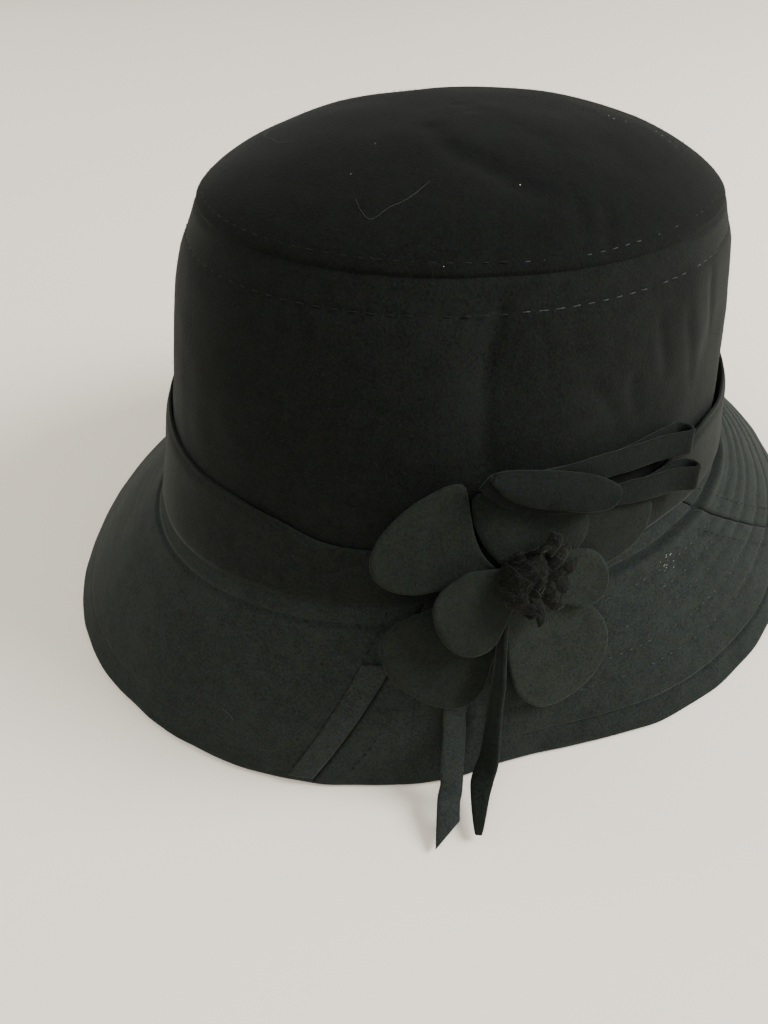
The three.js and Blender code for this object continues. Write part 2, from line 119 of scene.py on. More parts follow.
# Soft creases in the wall: turn and rise at each end, depth and width in millimetres.
WALL_CREASES = [
    (45.6, 0.93, 43.7, 0.73, 0.9, 2.2), (43.7, 0.73, 45.3, 0.46, 0.8, 2.4),
    (62.0, 0.66, 68.0, 0.52, 0.6, 2.0), (70.5, 0.64, 73.0, 0.50, 0.6, 2.2),
    (76.0, 0.80, 79.0, 0.60, 0.5, 2.4), (84.0, 0.78, 88.0, 0.52, 0.5, 2.6),
    (52.0, 0.86, 54.5, 0.70, 0.4, 2.2), (94.0, 0.84, 97.0, 0.62, 0.5, 2.6),
]

# Soft creases in the tip: across and ahead at each end, depth in millimetres, width.
TIP_CREASES = [
    (0.09, 0.32, 0.27, 0.42, 0.7, 0.045), (0.27, 0.42, 0.62, 0.43, 0.9, 0.05),
    (0.70, 0.34, 0.83, 0.46, 0.6, 0.03), (0.80, 0.30, 0.88, 0.41, 0.5, 0.03),
    (0.42, 0.12, 0.55, 0.26, 0.35, 0.04), (0.00, 0.05, 0.12, 0.12, 0.3, 0.05),
]

# Height of each petal's root and how far its end lifts, then its outline: across and up from the seat.
PETAL_ROWS = {
    "petal_1": (4.1, -3.5, [
        (-12.0, 26.9), (-15.0, 28.4), (-19.3, 28.1), (-25.4, 26.7), (-30.9, 24.1), (-35.7, 20.7),
        (-38.7, 16.3), (-38.7, 11.5), (-35.6, 7.1), (-30.2, 4.3), (-23.7, 3.2), (-13.3, 1.4),
        (-6.4, 1.7), (-8.3, 3.9), (-11.0, 8.8), (-12.2, 14.2), (-12.1, 20.2),
    ]),
    "petal_2": (6.3, 2.2, [
        (-7.3, 4.7), (-11.9, 6.3), (-16.8, 7.6), (-21.4, 7.1), (-25.6, 5.7), (-28.1, 2.3),
        (-28.0, -3.7), (-26.2, -9.8), (-22.7, -14.0), (-18.3, -16.0), (-13.8, -15.5),
        (-10.2, -12.4), (-5.0, -5.0), (-4.9, 1.4),
    ]),
    "petal_3": (1.9, -1.3, [
        (-7.4, -3.3), (-18.5, -1.9), (-28.1, -2.5), (-34.3, -2.8), (-39.0, -4.8), (-41.2, -8.7),
        (-40.4, -17.2), (-36.7, -23.9), (-29.8, -31.4), (-22.8, -34.6), (-17.4, -32.4),
        (-13.6, -26.6), (-6.4, -12.9), (-4.5, -7.5),
    ]),
    "petal_4": (4.1, 0.4, [
        (-3.4, -6.8), (-8.1, -10.9), (-9.0, -18.3), (-9.1, -27.8), (-7.8, -35.3), (-5.1, -39.7),
        (-0.9, -42.9), (5.4, -43.5), (13.1, -41.2), (18.5, -36.5), (21.3, -29.7), (20.0, -22.0),
        (15.1, -15.2), (5.2, -9.1),
    ]),
    "petal_5": (6.3, 0.9, [
        (8.0, 1.6), (13.2, 2.3), (18.2, 0.3), (20.7, -3.8), (21.1, -8.7), (19.1, -12.8),
        (14.8, -14.3), (9.2, -12.4), (5.3, -8.5), (5.3, -1.7),
    ]),
    "petal_6": (5.6, -4.8, [
        (-6.8, 4.3), (-9.9, 10.1), (-11.1, 15.6), (-10.8, 19.6), (-9.6, 22.6), (-6.3, 23.1),
        (-0.5, 21.5), (6.2, 19.4), (12.4, 17.3), (17.8, 14.9), (20.4, 10.7), (20.5, 5.5),
        (17.3, 1.4), (11.8, -0.8), (3.9, -1.3), (-3.0, 1.1),
    ]),
    "petal_8": (2.6, -4.8, [
        (10.3, -1.0), (15.8, 5.5), (21.2, 9.2), (27.8, 8.7), (36.3, 5.7), (42.1, 3.1), (42.9, 0.9),
        (41.7, -2.3), (40.1, -5.0), (36.3, -7.4), (31.1, -8.8), (24.6, -9.4), (15.9, -8.9),
    ]),
}

# The folded petal: its fold and its free edge, both from left to right.
FOLD_LINE = np.array([
    (-7.1, 29.1), (-2.8, 28.0), (4.9, 25.2), (12.9, 22.2), (20.3, 19.0), (24.4, 16.6), (26.6, 14.9),
])
FREE_EDGE = np.array([
    (-7.7, 28.7), (-5.5, 24.7), (-2.0, 21.4), (1.8, 19.0), (7.0, 16.6), (12.2, 14.8), (16.6, 13.6),
    (20.6, 12.9), (23.6, 13.2), (26.4, 14.2),
])

# Columns: root turn, rise and stand in millimetres, then the same for the end.
LOOP_ROWS = {
    "bow_loop_upper": (46.5, 0.415, 0.6, 83.0, 0.36, 0.8),
    "bow_loop_lower": (60.0, 0.300, 1.2, 83.0, 0.237, 4.2),
}

# Columns: turn, share of the way down the brim, stand in millimetres, twist in degrees.
TAIL_ROWS = {
    "tail_left": np.array([
        (43.6, 0.375, 1.4, 0), (40.7, 0.54, 1.8, 0), (40.1, 0.68, 3.0, 0), (39.5, 0.80, 5.0, 0),
        (38.9, 0.94, 7.5, 0), (38.3, 1.17, 6.5, 0), (37.7, 1.30, 3.0, 0),
    ]),
    "tail_right": np.array([
        (48.7, 0.10, 5.0, 86), (47.5, 0.23, 6.6, 86), (46.6, 0.39, 6.6, 84), (46.0, 0.517, 5.6, 80),
        (45.2, 0.69, 5.4, 72), (44.3, 0.85, 6.2, 56), (42.7, 1.14, 6.8, 22), (41.2, 1.33, 2.6, 12),
    ]),
}


# Shape


def cubic(a, b, c, d, t):
    """Smooth value between b and c."""
    slope_in = (c - a) / 2
    slope_out = (d - b) / 2
    bend = 3 * (c - b) - 2 * slope_in - slope_out
    twist = 2 * (b - c) + slope_in + slope_out
    return b + t * (slope_in + t * (bend + t * twist))


def along(keys, values, at):
    """Smooth value of a table's column at places along its key column."""
    at = np.asarray(at, float)
    last = len(keys) - 1
    i = np.clip(np.searchsorted(keys, at) - 1, 0, last - 1)
    t = (at - keys[i]) / (keys[i + 1] - keys[i])
    before = values[np.clip(i - 1, 0, last)]
    beyond = values[np.clip(i + 2, 0, last)]
    return cubic(before, values[i], values[i + 1], beyond, t)


def around(rows, column, turn):
    """The same for a table that runs round the hat."""
    keys = rows[:, 0]
    values = rows[:, column]
    count = len(keys)
    at = np.mod(turn, 360.0)
    i = np.searchsorted(keys, at, side="right") - 1
    after = np.where(i + 1 < count, keys[(i + 1) % count], keys[0] + 360)
    t = (at - keys[i]) / (after - keys[i])
    return cubic(values[i - 1], values[i], values[(i + 1) % count], values[(i + 2) % count], t)


def stack(x, y, z):
    """Points from three arrays that broadcast."""
    return np.stack(np.broadcast_arrays(x, y, z), axis=-1).astype(float)


def unit(vectors):
    return vectors / np.maximum(np.linalg.norm(vectors, axis=-1, keepdims=True), 1e-9)


def outward(turn):
    """Outward direction of the head oval in plan."""
    angle = np.radians(turn)
    return unit(stack(np.sin(angle) / HEAD_WIDTH, -np.cos(angle) / HEAD_LENGTH, 0.0))


def hill(distance, width):
    return np.exp(-(distance / width) ** 2)


def wall_dent(turn, rise):
    """How far the crown's wall is pressed in."""
    depth = 0.0
    for at_turn, at_rise, deep, wide, tall in WALL_DENTS:
        depth = depth + deep * hill(turn - at_turn, wide) * hill(rise - at_rise, tall)
    return depth


def wall_crease(turn, rise):
    """Depth of the soft creases, each a short valley that fades at its ends."""
    per_turn = math.pi * (HEAD_LENGTH + HEAD_WIDTH) / 2 / 360
    depth = 0.0
    for turn_a, rise_a, turn_b, rise_b, deep, wide in WALL_CREASES:
        ax, ay = turn_a * per_turn, rise_a * CROWN_RISE
        bx, by = turn_b * per_turn, rise_b * CROWN_RISE
        long = math.hypot(bx - ax, by - ay)
        px, py = turn * per_turn - ax, rise * CROWN_RISE - ay
        ahead = (px * (bx - ax) + py * (by - ay)) / long
        aside = (px * (by - ay) - py * (bx - ax)) / long
        fade = hill(np.maximum(np.abs(ahead - long / 2) - long / 3, 0), long / 4)
        depth = depth + deep * hill(aside, wide) * fade
    return depth


def shoulder(turn, rise):
    """Fullness of the wall's upper part on the side away from the flower."""
    aside = np.mod(turn - 295.0 + 180.0, 360.0) - 180.0
    return 1.5 * hill(aside, 50.0) * hill(rise - 0.80, 0.14)


def crown_point(turn, rise, stand):
    """Point on the crown's wall; stand moves it out from the felt's outer face."""
    angle = np.radians(turn)
    reach = along(CROWN_ROWS[:, 0], CROWN_ROWS[:, 1], rise)
    x = HEAD_WIDTH / 2 * reach * np.sin(angle)
    y = -HEAD_LENGTH / 2 * reach * np.cos(angle)
    lean_side = np.tan(np.radians(HEAD_LEAN_SIDE + (TIP_LEAN_SIDE - HEAD_LEAN_SIDE) * rise))
    lean_back = np.tan(np.radians(HEAD_LEAN_BACK + (TIP_LEAN_BACK - HEAD_LEAN_BACK) * rise))
    z = HEAD_LINE_HEIGHT + CROWN_RISE * rise + lean_side * x - lean_back * y
    point = stack(x + TIP_SHIFT_SIDE * rise, y + TIP_SHIFT_BACK * rise, z)
    return point + outward(turn) * (stand - wall_dent(turn, rise) + shoulder(turn, rise) + 0.0 * x)[..., None]


def tip_dent(across, ahead):
    depth = 0.0
    for at_across, at_ahead, aim, long, wide, deep in TIP_DENTS:
        c, s = math.cos(math.radians(aim)), math.sin(math.radians(aim))
        x, y = across - at_across, ahead - at_ahead
        depth = depth + deep * hill(x * c + y * s, long) * hill(y * c - x * s, wide)
    return depth


def tip_point(turn, share, inset):
    """Point on the crown's tip: share runs from its seam, 0, to its middle, 1."""
    rim = crown_point(turn, 1.0, -inset)
    middle = (crown_point(0.0, 1.0, 0.0) + crown_point(180.0, 1.0, 0.0)) / 2
    share = np.asarray(share, float)
    swell = np.maximum(1 - (1 - share) ** TIP_FLATNESS, 0) ** (1 / TIP_SHOULDER)
    point = rim + (middle - rim) * share[..., None]
    angle = np.radians(turn)
    dent = tip_dent((1 - share) * np.sin(angle), (1 - share) * np.cos(angle))
    point[..., 2] += (TIP_RISE - inset) * swell - dent * swell
    return point


def brim_point(turn, share, stand):
    """Point on the brim's upper face: share runs from the head line, 0, to the edge, 1."""
    turn = np.asarray(turn, float)
    share = np.asarray(share, float)
    start = crown_point(turn, 0.0, 0.0)
    start[..., 2] -= GAP
    reach = BRIM_REACH * around(BRIM_ROWS, 1, turn)
    out = outward(turn)
    end = start + out * reach[..., None]
    end[..., 2] = BRIM_LIP
    drop = start[..., 2] - BRIM_LIP
    depth = np.hypot(reach, drop)
    face = out * (drop / depth)[..., None]
    face[..., 2] = reach / depth
    rise = BRIM_BELL * np.sin(np.pi * np.clip(share, 0, 1)) + stand
    on_brim = start + (end - start) * share[..., None] + face * rise[..., None]
    beyond = end + out * ((share - 1) * depth)[..., None]
    beyond[..., 2] = stand + 0.0 * depth
    return np.where((share > 1)[..., None], beyond, on_brim)


def brim_depth(turn):
    """Length of the brim's slope in millimetres."""
    start = crown_point(turn, 0.0, 0.0)[..., 2] - GAP
    return np.hypot(BRIM_REACH * around(BRIM_ROWS, 1, turn), start - BRIM_LIP)


def brim_wall(turn):
    """Width in plan of the brim's felt."""
    start = crown_point(turn, 0.0, 0.0)[..., 2]
    return BRIM_FELT * np.hypot(BRIM_REACH * around(BRIM_ROWS, 1, turn), start) / start


def ripple(points, wavelength, seed):
    """Soft unevenness between about -1 and 1, the same on every run."""
    dice = np.random.default_rng(seed)
    total = 0.0
    for _ in range(14):
        way = unit(dice.normal(size=3))
        turns = 2 * math.pi / (wavelength * dice.uniform(0.7, 1.5))
        total = total + np.sin(points @ way * turns + dice.uniform(0, 2 * math.pi))
    return total / 5.0


# Meshes


def band_of_faces(columns, count, wraps):
    """Faces over a grid of closed loops, column by column."""
    i = np.arange(columns if wraps else columns - 1)[:, None]
    k = np.arange(count)[None, :]
    here = i * count
    after = ((i + 1) % columns) * count
    k2 = (k + 1) % count
    return np.stack([here + k, after + k, after + k2, here + k2], axis=-1).reshape(-1, 4)


def end_faces(first, count):
    """Faces that close the end of a loop whose second half runs back under its first."""
    k = np.arange(count // 2 - 1)
    return np.stack([first + k, first + k + 1, first + count - 2 - k, first + count - 1 - k], axis=-1)


def link(name, mesh):
    piece = bpy.data.objects.new(name, mesh)
    bpy.context.scene.collection.objects.link(piece)
    return piece


def build(name, points, faces):
    """A closed piece, its points in millimetres from the head line's middle."""
    points = points.reshape(-1, 3)
    a, b, c, d = (points[faces[:, k]] for k in range(4))
    volume = np.sum(a * np.cross(b, c)) + np.sum(a * np.cross(c, d))
    if volume < 0:
        faces = faces[:, ::-1]
    mesh = bpy.data.meshes.new(name)
    mesh.from_pydata(((points + CENTRE) * MM).tolist(), [], faces.tolist())
    tidy = bmesh.new()
    tidy.from_mesh(mesh)
    bmesh.ops.remove_doubles(tidy, verts=tidy.verts, dist=2e-6)
    tidy.to_mesh(mesh)
    tidy.free()
    mesh.polygons.foreach_set("use_smooth", [True] * len(mesh.polygons))
    return link(name, mesh)


def shell(name, loops, wraps):
    """A felt wall from closed loops round its thickness."""
    columns, count = loops.shape[:2]
    faces = band_of_faces(columns, count, wraps)
    if not wraps:
        near = end_faces(0, count)
        far = end_faces((columns - 1) * count, count)[:, ::-1]
        faces = np.concatenate([faces, near, far])
    return build(name, loops, faces)


def rounded(outer, inner, both_ends):
    """Joins outer and inner faces with a soft round edge at the last row, or at both."""
    def edge(top, low, back):
        half = (top - low) / 2
        middle = (top + low) / 2
        ahead = unit(middle - back) * np.linalg.norm(half, axis=-1, keepdims=True) * 0.8
        angles = np.radians([25, 58, 122, 155])
        return [middle + half * math.cos(a) + ahead * math.sin(a) for a in angles]
    last = edge(outer[:, -1], inner[:, -1], (outer[:, -2] + inner[:, -2]) / 2)
    parts = [outer, np.stack(last[:2], axis=1), np.stack(last[2:], axis=1), inner[:, ::-1]]
    if both_ends:
        first = edge(outer[:, 0], inner[:, 0], (outer[:, 1] + inner[:, 1]) / 2)
        parts.insert(0, np.stack([first[1], first[0]], axis=1))
        parts.append(np.stack([first[3], first[2]], axis=1))
    return np.concatenate(parts, axis=1)


# Finishes


class Number:
    """A number in a finish; sums on it add Math nodes."""

    def __init__(self, finish, socket):
        self.finish = finish
        self.socket = socket

    def _math(self, operation, first, second):
        node = self.finish.node("ShaderNodeMath", {"operation": operation}, {0: first, 1: second})
        return Number(self.finish, node.outputs[0])

    def __add__(self, other):
        return self._math("ADD", self, other)

    def __radd__(self, other):
        return self._math("ADD", other, self)

    def __sub__(self, other):
        return self._math("SUBTRACT", self, other)

    def __rsub__(self, other):
        return self._math("SUBTRACT", other, self)

    def __mul__(self, other):
        return self._math("MULTIPLY", self, other)

    def __rmul__(self, other):
        return self._math("MULTIPLY", other, self)

    def __pow__(self, other):
        return self._math("POWER", self, other)


class Finish:
    """A material and the nodes that make it."""

    def __init__(self, name):
        self.material = bpy.data.materials.new(name)
        self.material.use_nodes = True
        self.tree = self.material.node_tree
        self.shader = self.tree.nodes["Principled BSDF"]
        self.place = self.node("ShaderNodeTexCoord", {}, {}).outputs["Object"]

    def node(self, kind, settings, values):
        node = self.tree.nodes.new(kind)
        for key, value in settings.items():
            setattr(node, key, value)
        self.fill(node, values)
        return node

    def fill(self, node, values):
        for key, value in values.items():
            socket = node.inputs[key]
            source = value.socket if isinstance(value, Number) else value
            if isinstance(source, bpy.types.NodeSocket):
                self.tree.links.new(source, socket)
            else:
                socket.default_value = source

    def noise(self, scale, detail=2.0, rough=0.5, place=None):
        values = {"Vector": place or self.place, "Scale": scale, "Detail": detail, "Roughness": rough}
        return Number(self, self.node("ShaderNodeTexNoise", {}, values).outputs[0])

    def stretched(self, scale, ways):
        """Noise drawn out into fibres: ways gives the scale along each axis."""
        mapped = self.node("ShaderNodeMapping", {}, {"Vector": self.place, "Scale": ways})
        return self.noise(scale, 3.0, 0.6, mapped.outputs[0])

    def step(self, value, low, high):
        """0 below low, 1 above high, soft between."""
        values = {"Value": value, "From Min": low, "From Max": high}
        node = self.node("ShaderNodeMapRange", {"interpolation_type": "SMOOTHSTEP"}, values)
        return Number(self, node.outputs[0])

    def specks(self, scale, size, share):
        """Small round specks in a share of the cells."""
        cells = self.node("ShaderNodeTexVoronoi", {}, {"Vector": self.place, "Scale": scale})
        near = 1 - self.step(Number(self, cells.outputs["Distance"]), size * 0.5, size)
        chosen = self.node("ShaderNodeSeparateColor", {}, {0: cells.outputs["Color"]}).outputs[0]
        return near * self.step(Number(self, chosen), 1 - share, 1 - share + 0.01)

    def mix(self, factor, first, second):
        settings = {"data_type": "RGBA", "clamp_factor": True}
        return self.node("ShaderNodeMix", settings, {0: factor, 6: first, 7: second}).outputs[2]

    def bump(self, height, strength, distance):
        values = {"Height": height, "Strength": strength, "Distance": distance}
        return self.node("ShaderNodeBump", {}, values).outputs[0]

    def done(self, **values):
        named = {key.replace("_", " "): value for key, value in values.items()}
        self.fill(self.shader, named)
        return self.material


def colour(red, green, blue):
    return (red, green, blue, 1.0)


def felt(name, dark, light, sheen=0.10):
    """Milled wool felt: matt, mottled in muted hues, with a short nap."""
    f = Finish(name)
    middle = [(a + b) / 2 for a, b in zip(dark, light)]
    green = colour(middle[0] * 0.6, middle[1] * 1.35, middle[2] * 0.75)
    violet = colour(middle[0] * 1.0, middle[1] * 0.85, middle[2] * 1.9)
    brown = colour(middle[0] * 1.7, middle[1] * 1.1, middle[2] * 0.7)
    grain = f.noise(1500.0, 3.0, 0.65)
    blotch = f.noise(230.0, 3.0, 0.6)
    tone = f.step(0.14 * f.noise(42.0, 2.0) + 0.22 * blotch + 0.64 * grain, 0.38, 0.62)
    base = f.mix(tone, dark, light)
    base = f.mix(0.42 * f.step(f.noise(900.0, 3.0, 0.6), 0.46, 0.66), base, green)
    base = f.mix(0.36 * f.step(f.noise(800.0, 3.0, 0.6), 0.48, 0.68), base, violet)
    base = f.mix(0.34 * f.step(f.noise(700.0, 3.0, 0.6), 0.48, 0.68), base, brown)
    height = 0.6 * grain + 0.25 * blotch + 0.15 * f.noise(3600.0, 1.0)
    f.shader.inputs["Sheen Weight"].default_value = sheen
    f.shader.inputs["Sheen Roughness"].default_value = 0.30
    f.shader.inputs["Sheen Tint"].default_value = colour(0.80, 0.88, 0.82)
    f.shader.inputs["Specular IOR Level"].default_value = 0.08
    rough = 0.88 + 0.10 * grain
    return f.done(Base_Color=base, Roughness=rough, Normal=f.bump(height, 0.6, 0.0005))


def thread(name, dark, light):
    """Twisted cotton thread with a faint shine."""
    f = Finish(name)
    twist = f.noise(2200.0, 1.0)
    base = f.mix(f.step(twist, 0.35, 0.65), dark, light)
    f.shader.inputs["Specular IOR Level"].default_value = 0.15
    rough = 0.6 + 0.2 * twist
    return f.done(Base_Color=base, Roughness=rough, Normal=f.bump(twist, 0.4, 0.0002))


def hair(name, dark, light):
    """Loose fibres lying on the felt."""
    f = Finish(name)
    base = f.mix(f.noise(300.0, 1.0), dark, light)
    f.shader.inputs["Specular IOR Level"].default_value = 0.08
    return f.done(Base_Color=base, Roughness=0.7 + 0.2 * f.noise(500.0, 1.0))


def table_top(name):
    """Smooth pale table."""
    f = Finish(name)
    cloud = f.noise(3.0, 2.0)
    base = f.mix(f.step(cloud, 0.35, 0.7), colour(0.915, 0.845, 0.725), colour(0.935, 0.865, 0.745))
    fine = f.noise(700.0, 2.0)
    f.shader.inputs["Specular IOR Level"].default_value = 0.2
    rough = 0.75 + 0.1 * fine
    return f.done(Base_Color=base, Roughness=rough, Normal=f.bump(fine, 0.05, 0.0002))


crown_felt = felt("crown_felt", colour(0.0029, 0.0035, 0.0029), colour(0.0076, 0.0091, 0.0078), 0.07)
# The tip is the same felt as the crown, painted darker: painted shade that keeps the flat top dim under the lamps.
tip_felt_painted_shade = felt("tip_felt_painted_shade", colour(0.0019, 0.0023, 0.0020), colour(0.0051, 0.0062, 0.0052), 0.03)
# The brim is the same felt as the crown, painted lighter: painted light on its sloped face.
brim_felt = felt("brim_felt", colour(0.0083, 0.0102, 0.0089), colour(0.0191, 0.0238, 0.0208), 0.10)
band_felt = felt("band_felt", colour(0.0045, 0.0053, 0.0045), colour(0.0112, 0.0134, 0.0113))
# The left tail's felt, a lighter copy of the bow's felt: painted light where that tail lies in the light.
strip_felt = felt("strip_felt", colour(0.0128, 0.0154, 0.0139), colour(0.0250, 0.0302, 0.0271))
petal_felt = felt("petal_felt", colour(0.0054, 0.0067, 0.0053), colour(0.0116, 0.0144, 0.0113))
# A lighter copy of the brim's felt for the seam strip: painted light on its raised face.
seam_felt_painted_lit = felt("seam_felt_painted_lit", colour(0.0100, 0.0120, 0.0108), colour(0.0228, 0.0276, 0.0244), 0.14)
# A darker copy of the bow's felt for the loops and the folded petal: painted shade where they lie in the crown's shadow
# and under the fold.
loop_felt_painted_shade = felt("loop_felt_painted_shade", colour(0.0036, 0.0046, 0.0039), colour(0.0075, 0.0095, 0.0081), 0.08)
# A lighter copy of the petal felt for petals 4 and 5: painted light where they face the lamps.
petal_painted_light_felt = felt("petal_painted_light_felt", colour(0.0085, 0.0107, 0.0086), colour(0.0187, 0.0235, 0.0190))
fringe_felt = felt("fringe_felt", colour(0.0022, 0.0027, 0.0021), colour(0.0082, 0.0093, 0.0076), 0.04)
# One thread in two tones: a lighter copy, painted light, for the stitches on the lit side near the flower, and a darker
# copy, painted shade, for the rest of the way round and the seams.
thread_painted_lit = thread("thread_painted_lit", colour(0.014, 0.017, 0.017), colour(0.042, 0.048, 0.048))
thread_painted_shade = thread("thread_painted_shade", colour(0.0025, 0.0028, 0.0025), colour(0.0065, 0.0072, 0.0065))
# A lighter copy of the thread for the brim's rows on the lit side: painted light.
brim_thread_painted_highlight = thread("brim_thread_painted_highlight", colour(0.014, 0.017, 0.015), colour(0.050, 0.056, 0.052))
nap_fibre = hair("nap_fibre", colour(0.008, 0.010, 0.008), colour(0.032, 0.036, 0.031))
fringe_fibre = hair("fringe_fibre", colour(0.006, 0.007, 0.006), colour(0.060, 0.056, 0.049))
pale_hair = hair("pale_hair", colour(0.035, 0.036, 0.031), colour(0.085, 0.087, 0.075))
white_fluff = hair("white_fluff", colour(0.34, 0.34, 0.27), colour(0.62, 0.61, 0.50))


def dress(piece, material, slot, *nodes):
    """Gives a piece its finish and place in the frame."""
    piece.data.materials.clear()
    piece.data.materials.append(material)
    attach(piece, "root")
    if nodes:
        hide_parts(*nodes)
    return piece


# Crown


def spaced(low, high, step, places=(), fine=0.0, near=0.0):
    """Distances from low to high, closer together near the named places."""
    found = [low]
    while found[-1] < high:
        close = any(abs(found[-1] - place) < near for place in places)
        found.append(found[-1] + (fine if close else step))
    found[-1] = high
    return np.array(found)


CROWN_ROW_BELOW = 7.8
CROWN_ROW_ABOVE = 3.0
COLUMNS = 480
TURNS = np.arange(COLUMNS) * 360.0 / COLUMNS


def seam_roll(distance):
    """How far felt turns in beside the tip seam."""
    return 0.75 * hill(distance, 0.9)


def make_crown_side():
    down = spaced(GAP * 0.4, CROWN_RISE - GAP, 1.6, (0.0, CROWN_ROW_BELOW), 0.4, 2.6)[::-1]
    rise = (1 - down / CROWN_RISE)[None, :]
    turn = TURNS[:, None]
    bare = crown_point(turn, rise, 0.0)
    uneven = 0.26 * ripple(bare, 34.0, 3) + 0.12 * ripple(bare, 13.0, 4)
    fade = 1 - hill(down, 9.0)[None, :]
    stand = uneven * fade - wall_crease(turn, rise)
    stand = stand - seam_roll(down)[None, :] - 0.22 * hill(down - CROWN_ROW_BELOW, 0.8)[None, :]
    outer = crown_point(turn, rise, stand)
    inner = crown_point(turn, rise, stand - CROWN_FELT)
    piece = shell("crown_wall", rounded(outer, inner, True), True)
    return dress(piece, crown_felt, "crown_felt", "crown_side")


def tip_distance():
    """Distance in millimetres up from the tip's seam for shares of the way in."""
    shares = np.linspace(0, 1, 2000) ** 1.6
    line = tip_point(60.0, shares, 0.0)
    steps = np.linalg.norm(np.diff(line, axis=0), axis=1)
    return shares, np.concatenate([[0], np.cumsum(steps)])


TIP_SHARES, TIP_DISTANCES = tip_distance()


def tip_share(distance):
    return np.interp(distance, TIP_DISTANCES, TIP_SHARES)


def tip_crease(across, ahead):
    """Depth of the tip's soft creases."""
    depth = 0.0
    for ax, ay, bx, by, deep, wide in TIP_CREASES:
        long = math.hypot(bx - ax, by - ay)
        px, py = across - ax, ahead - ay
        along_it = (px * (bx - ax) + py * (by - ay)) / long
        aside = (px * (by - ay) - py * (bx - ax)) / long
        fade = hill(np.maximum(np.abs(along_it - long / 2) - long / 3, 0), long / 4)
        depth = depth + deep * hill(aside, wide) * fade
    return depth


def make_crown_tip():
    up = spaced(0.1, TIP_DISTANCES[-1], 1.4, (0.0, CROWN_ROW_ABOVE), 0.4, 2.4)
    share = np.broadcast_to(tip_share(up)[None, :], (COLUMNS, len(up)))
    turn = np.broadcast_to(TURNS[:, None], share.shape)
    bare = tip_point(turn, share, 0.0)
    inset = seam_roll(up)
    fade = (1 - hill(up, 8.0)) * (1 - hill(up - TIP_DISTANCES[-1], 4.0))
    inset = inset - fade * (0.24 * ripple(bare, 30.0, 7) + 0.05 * ripple(bare, 12.0, 8))
    angle = np.radians(turn)
    inset = inset + tip_crease((1 - share) * np.sin(angle), (1 - share) * np.cos(angle))
    outer = tip_point(turn, share, inset)
    inner = tip_point(turn, share, inset + CROWN_FELT)
    piece = shell("crown_top", rounded(inner[:, ::-1], outer[:, ::-1], False), True)
    # The tip takes the darker copy of the crown's felt: painted shade.
    return dress(piece, tip_felt_painted_shade, "crown_felt", "crown_tip")


def make_band():
    share = np.concatenate([np.linspace(0.0, 0.10, 6), np.linspace(0.14, 0.86, 16), np.linspace(0.89, 1, 7)])
    share = share[None, :]
    turn = TURNS[:, None]
    lifted = 2.8 * np.clip((TURNS - 56) / 14, 0, 1) * np.clip((128 - TURNS) / 16, 0, 1)
    low = (GAP + lifted[:, None]) / CROWN_RISE
    top = around(BAND_ROWS, 1, TURNS)[:, None] * BAND_HEIGHT / CROWN_RISE
    rise = low + (top - low) * share
    off = BAND_STAND * np.maximum(around(BAND_ROWS, 2, TURNS), 0)[:, None]
    bare = crown_point(turn, rise, off)
    stand = 0.25 + off + 0.10 * (1 + ripple(bare, 24.0, 11))
    thick = BAND_FELT - 0.75 * hill(1 - share, 0.07) - 0.5 * hill(share, 0.05)
    inner = crown_point(turn, rise, stand)
    outer = crown_point(turn, rise, stand + thick)
    piece = shell("felt_band", rounded(outer, inner, True), True)
    return dress(piece, band_felt, "band_felt", "hat_band")


# Brim


BRIM_STITCH_SHARES = (0.11, 0.22, 0.31, 0.40, 0.53, 0.66)
HEM_SHARE = 0.862
SEAM_ALLOWANCE = 10.2


def row_strength(turn):
    """The stitched rows sink deep on the flower's side and hardly at all on the other."""
    at = np.mod(turn, 360.0)
    return 0.10 + 0.90 * np.clip((at - 44) / 16, 0, 1) * np.clip((205 - at) / 60, 0, 1)


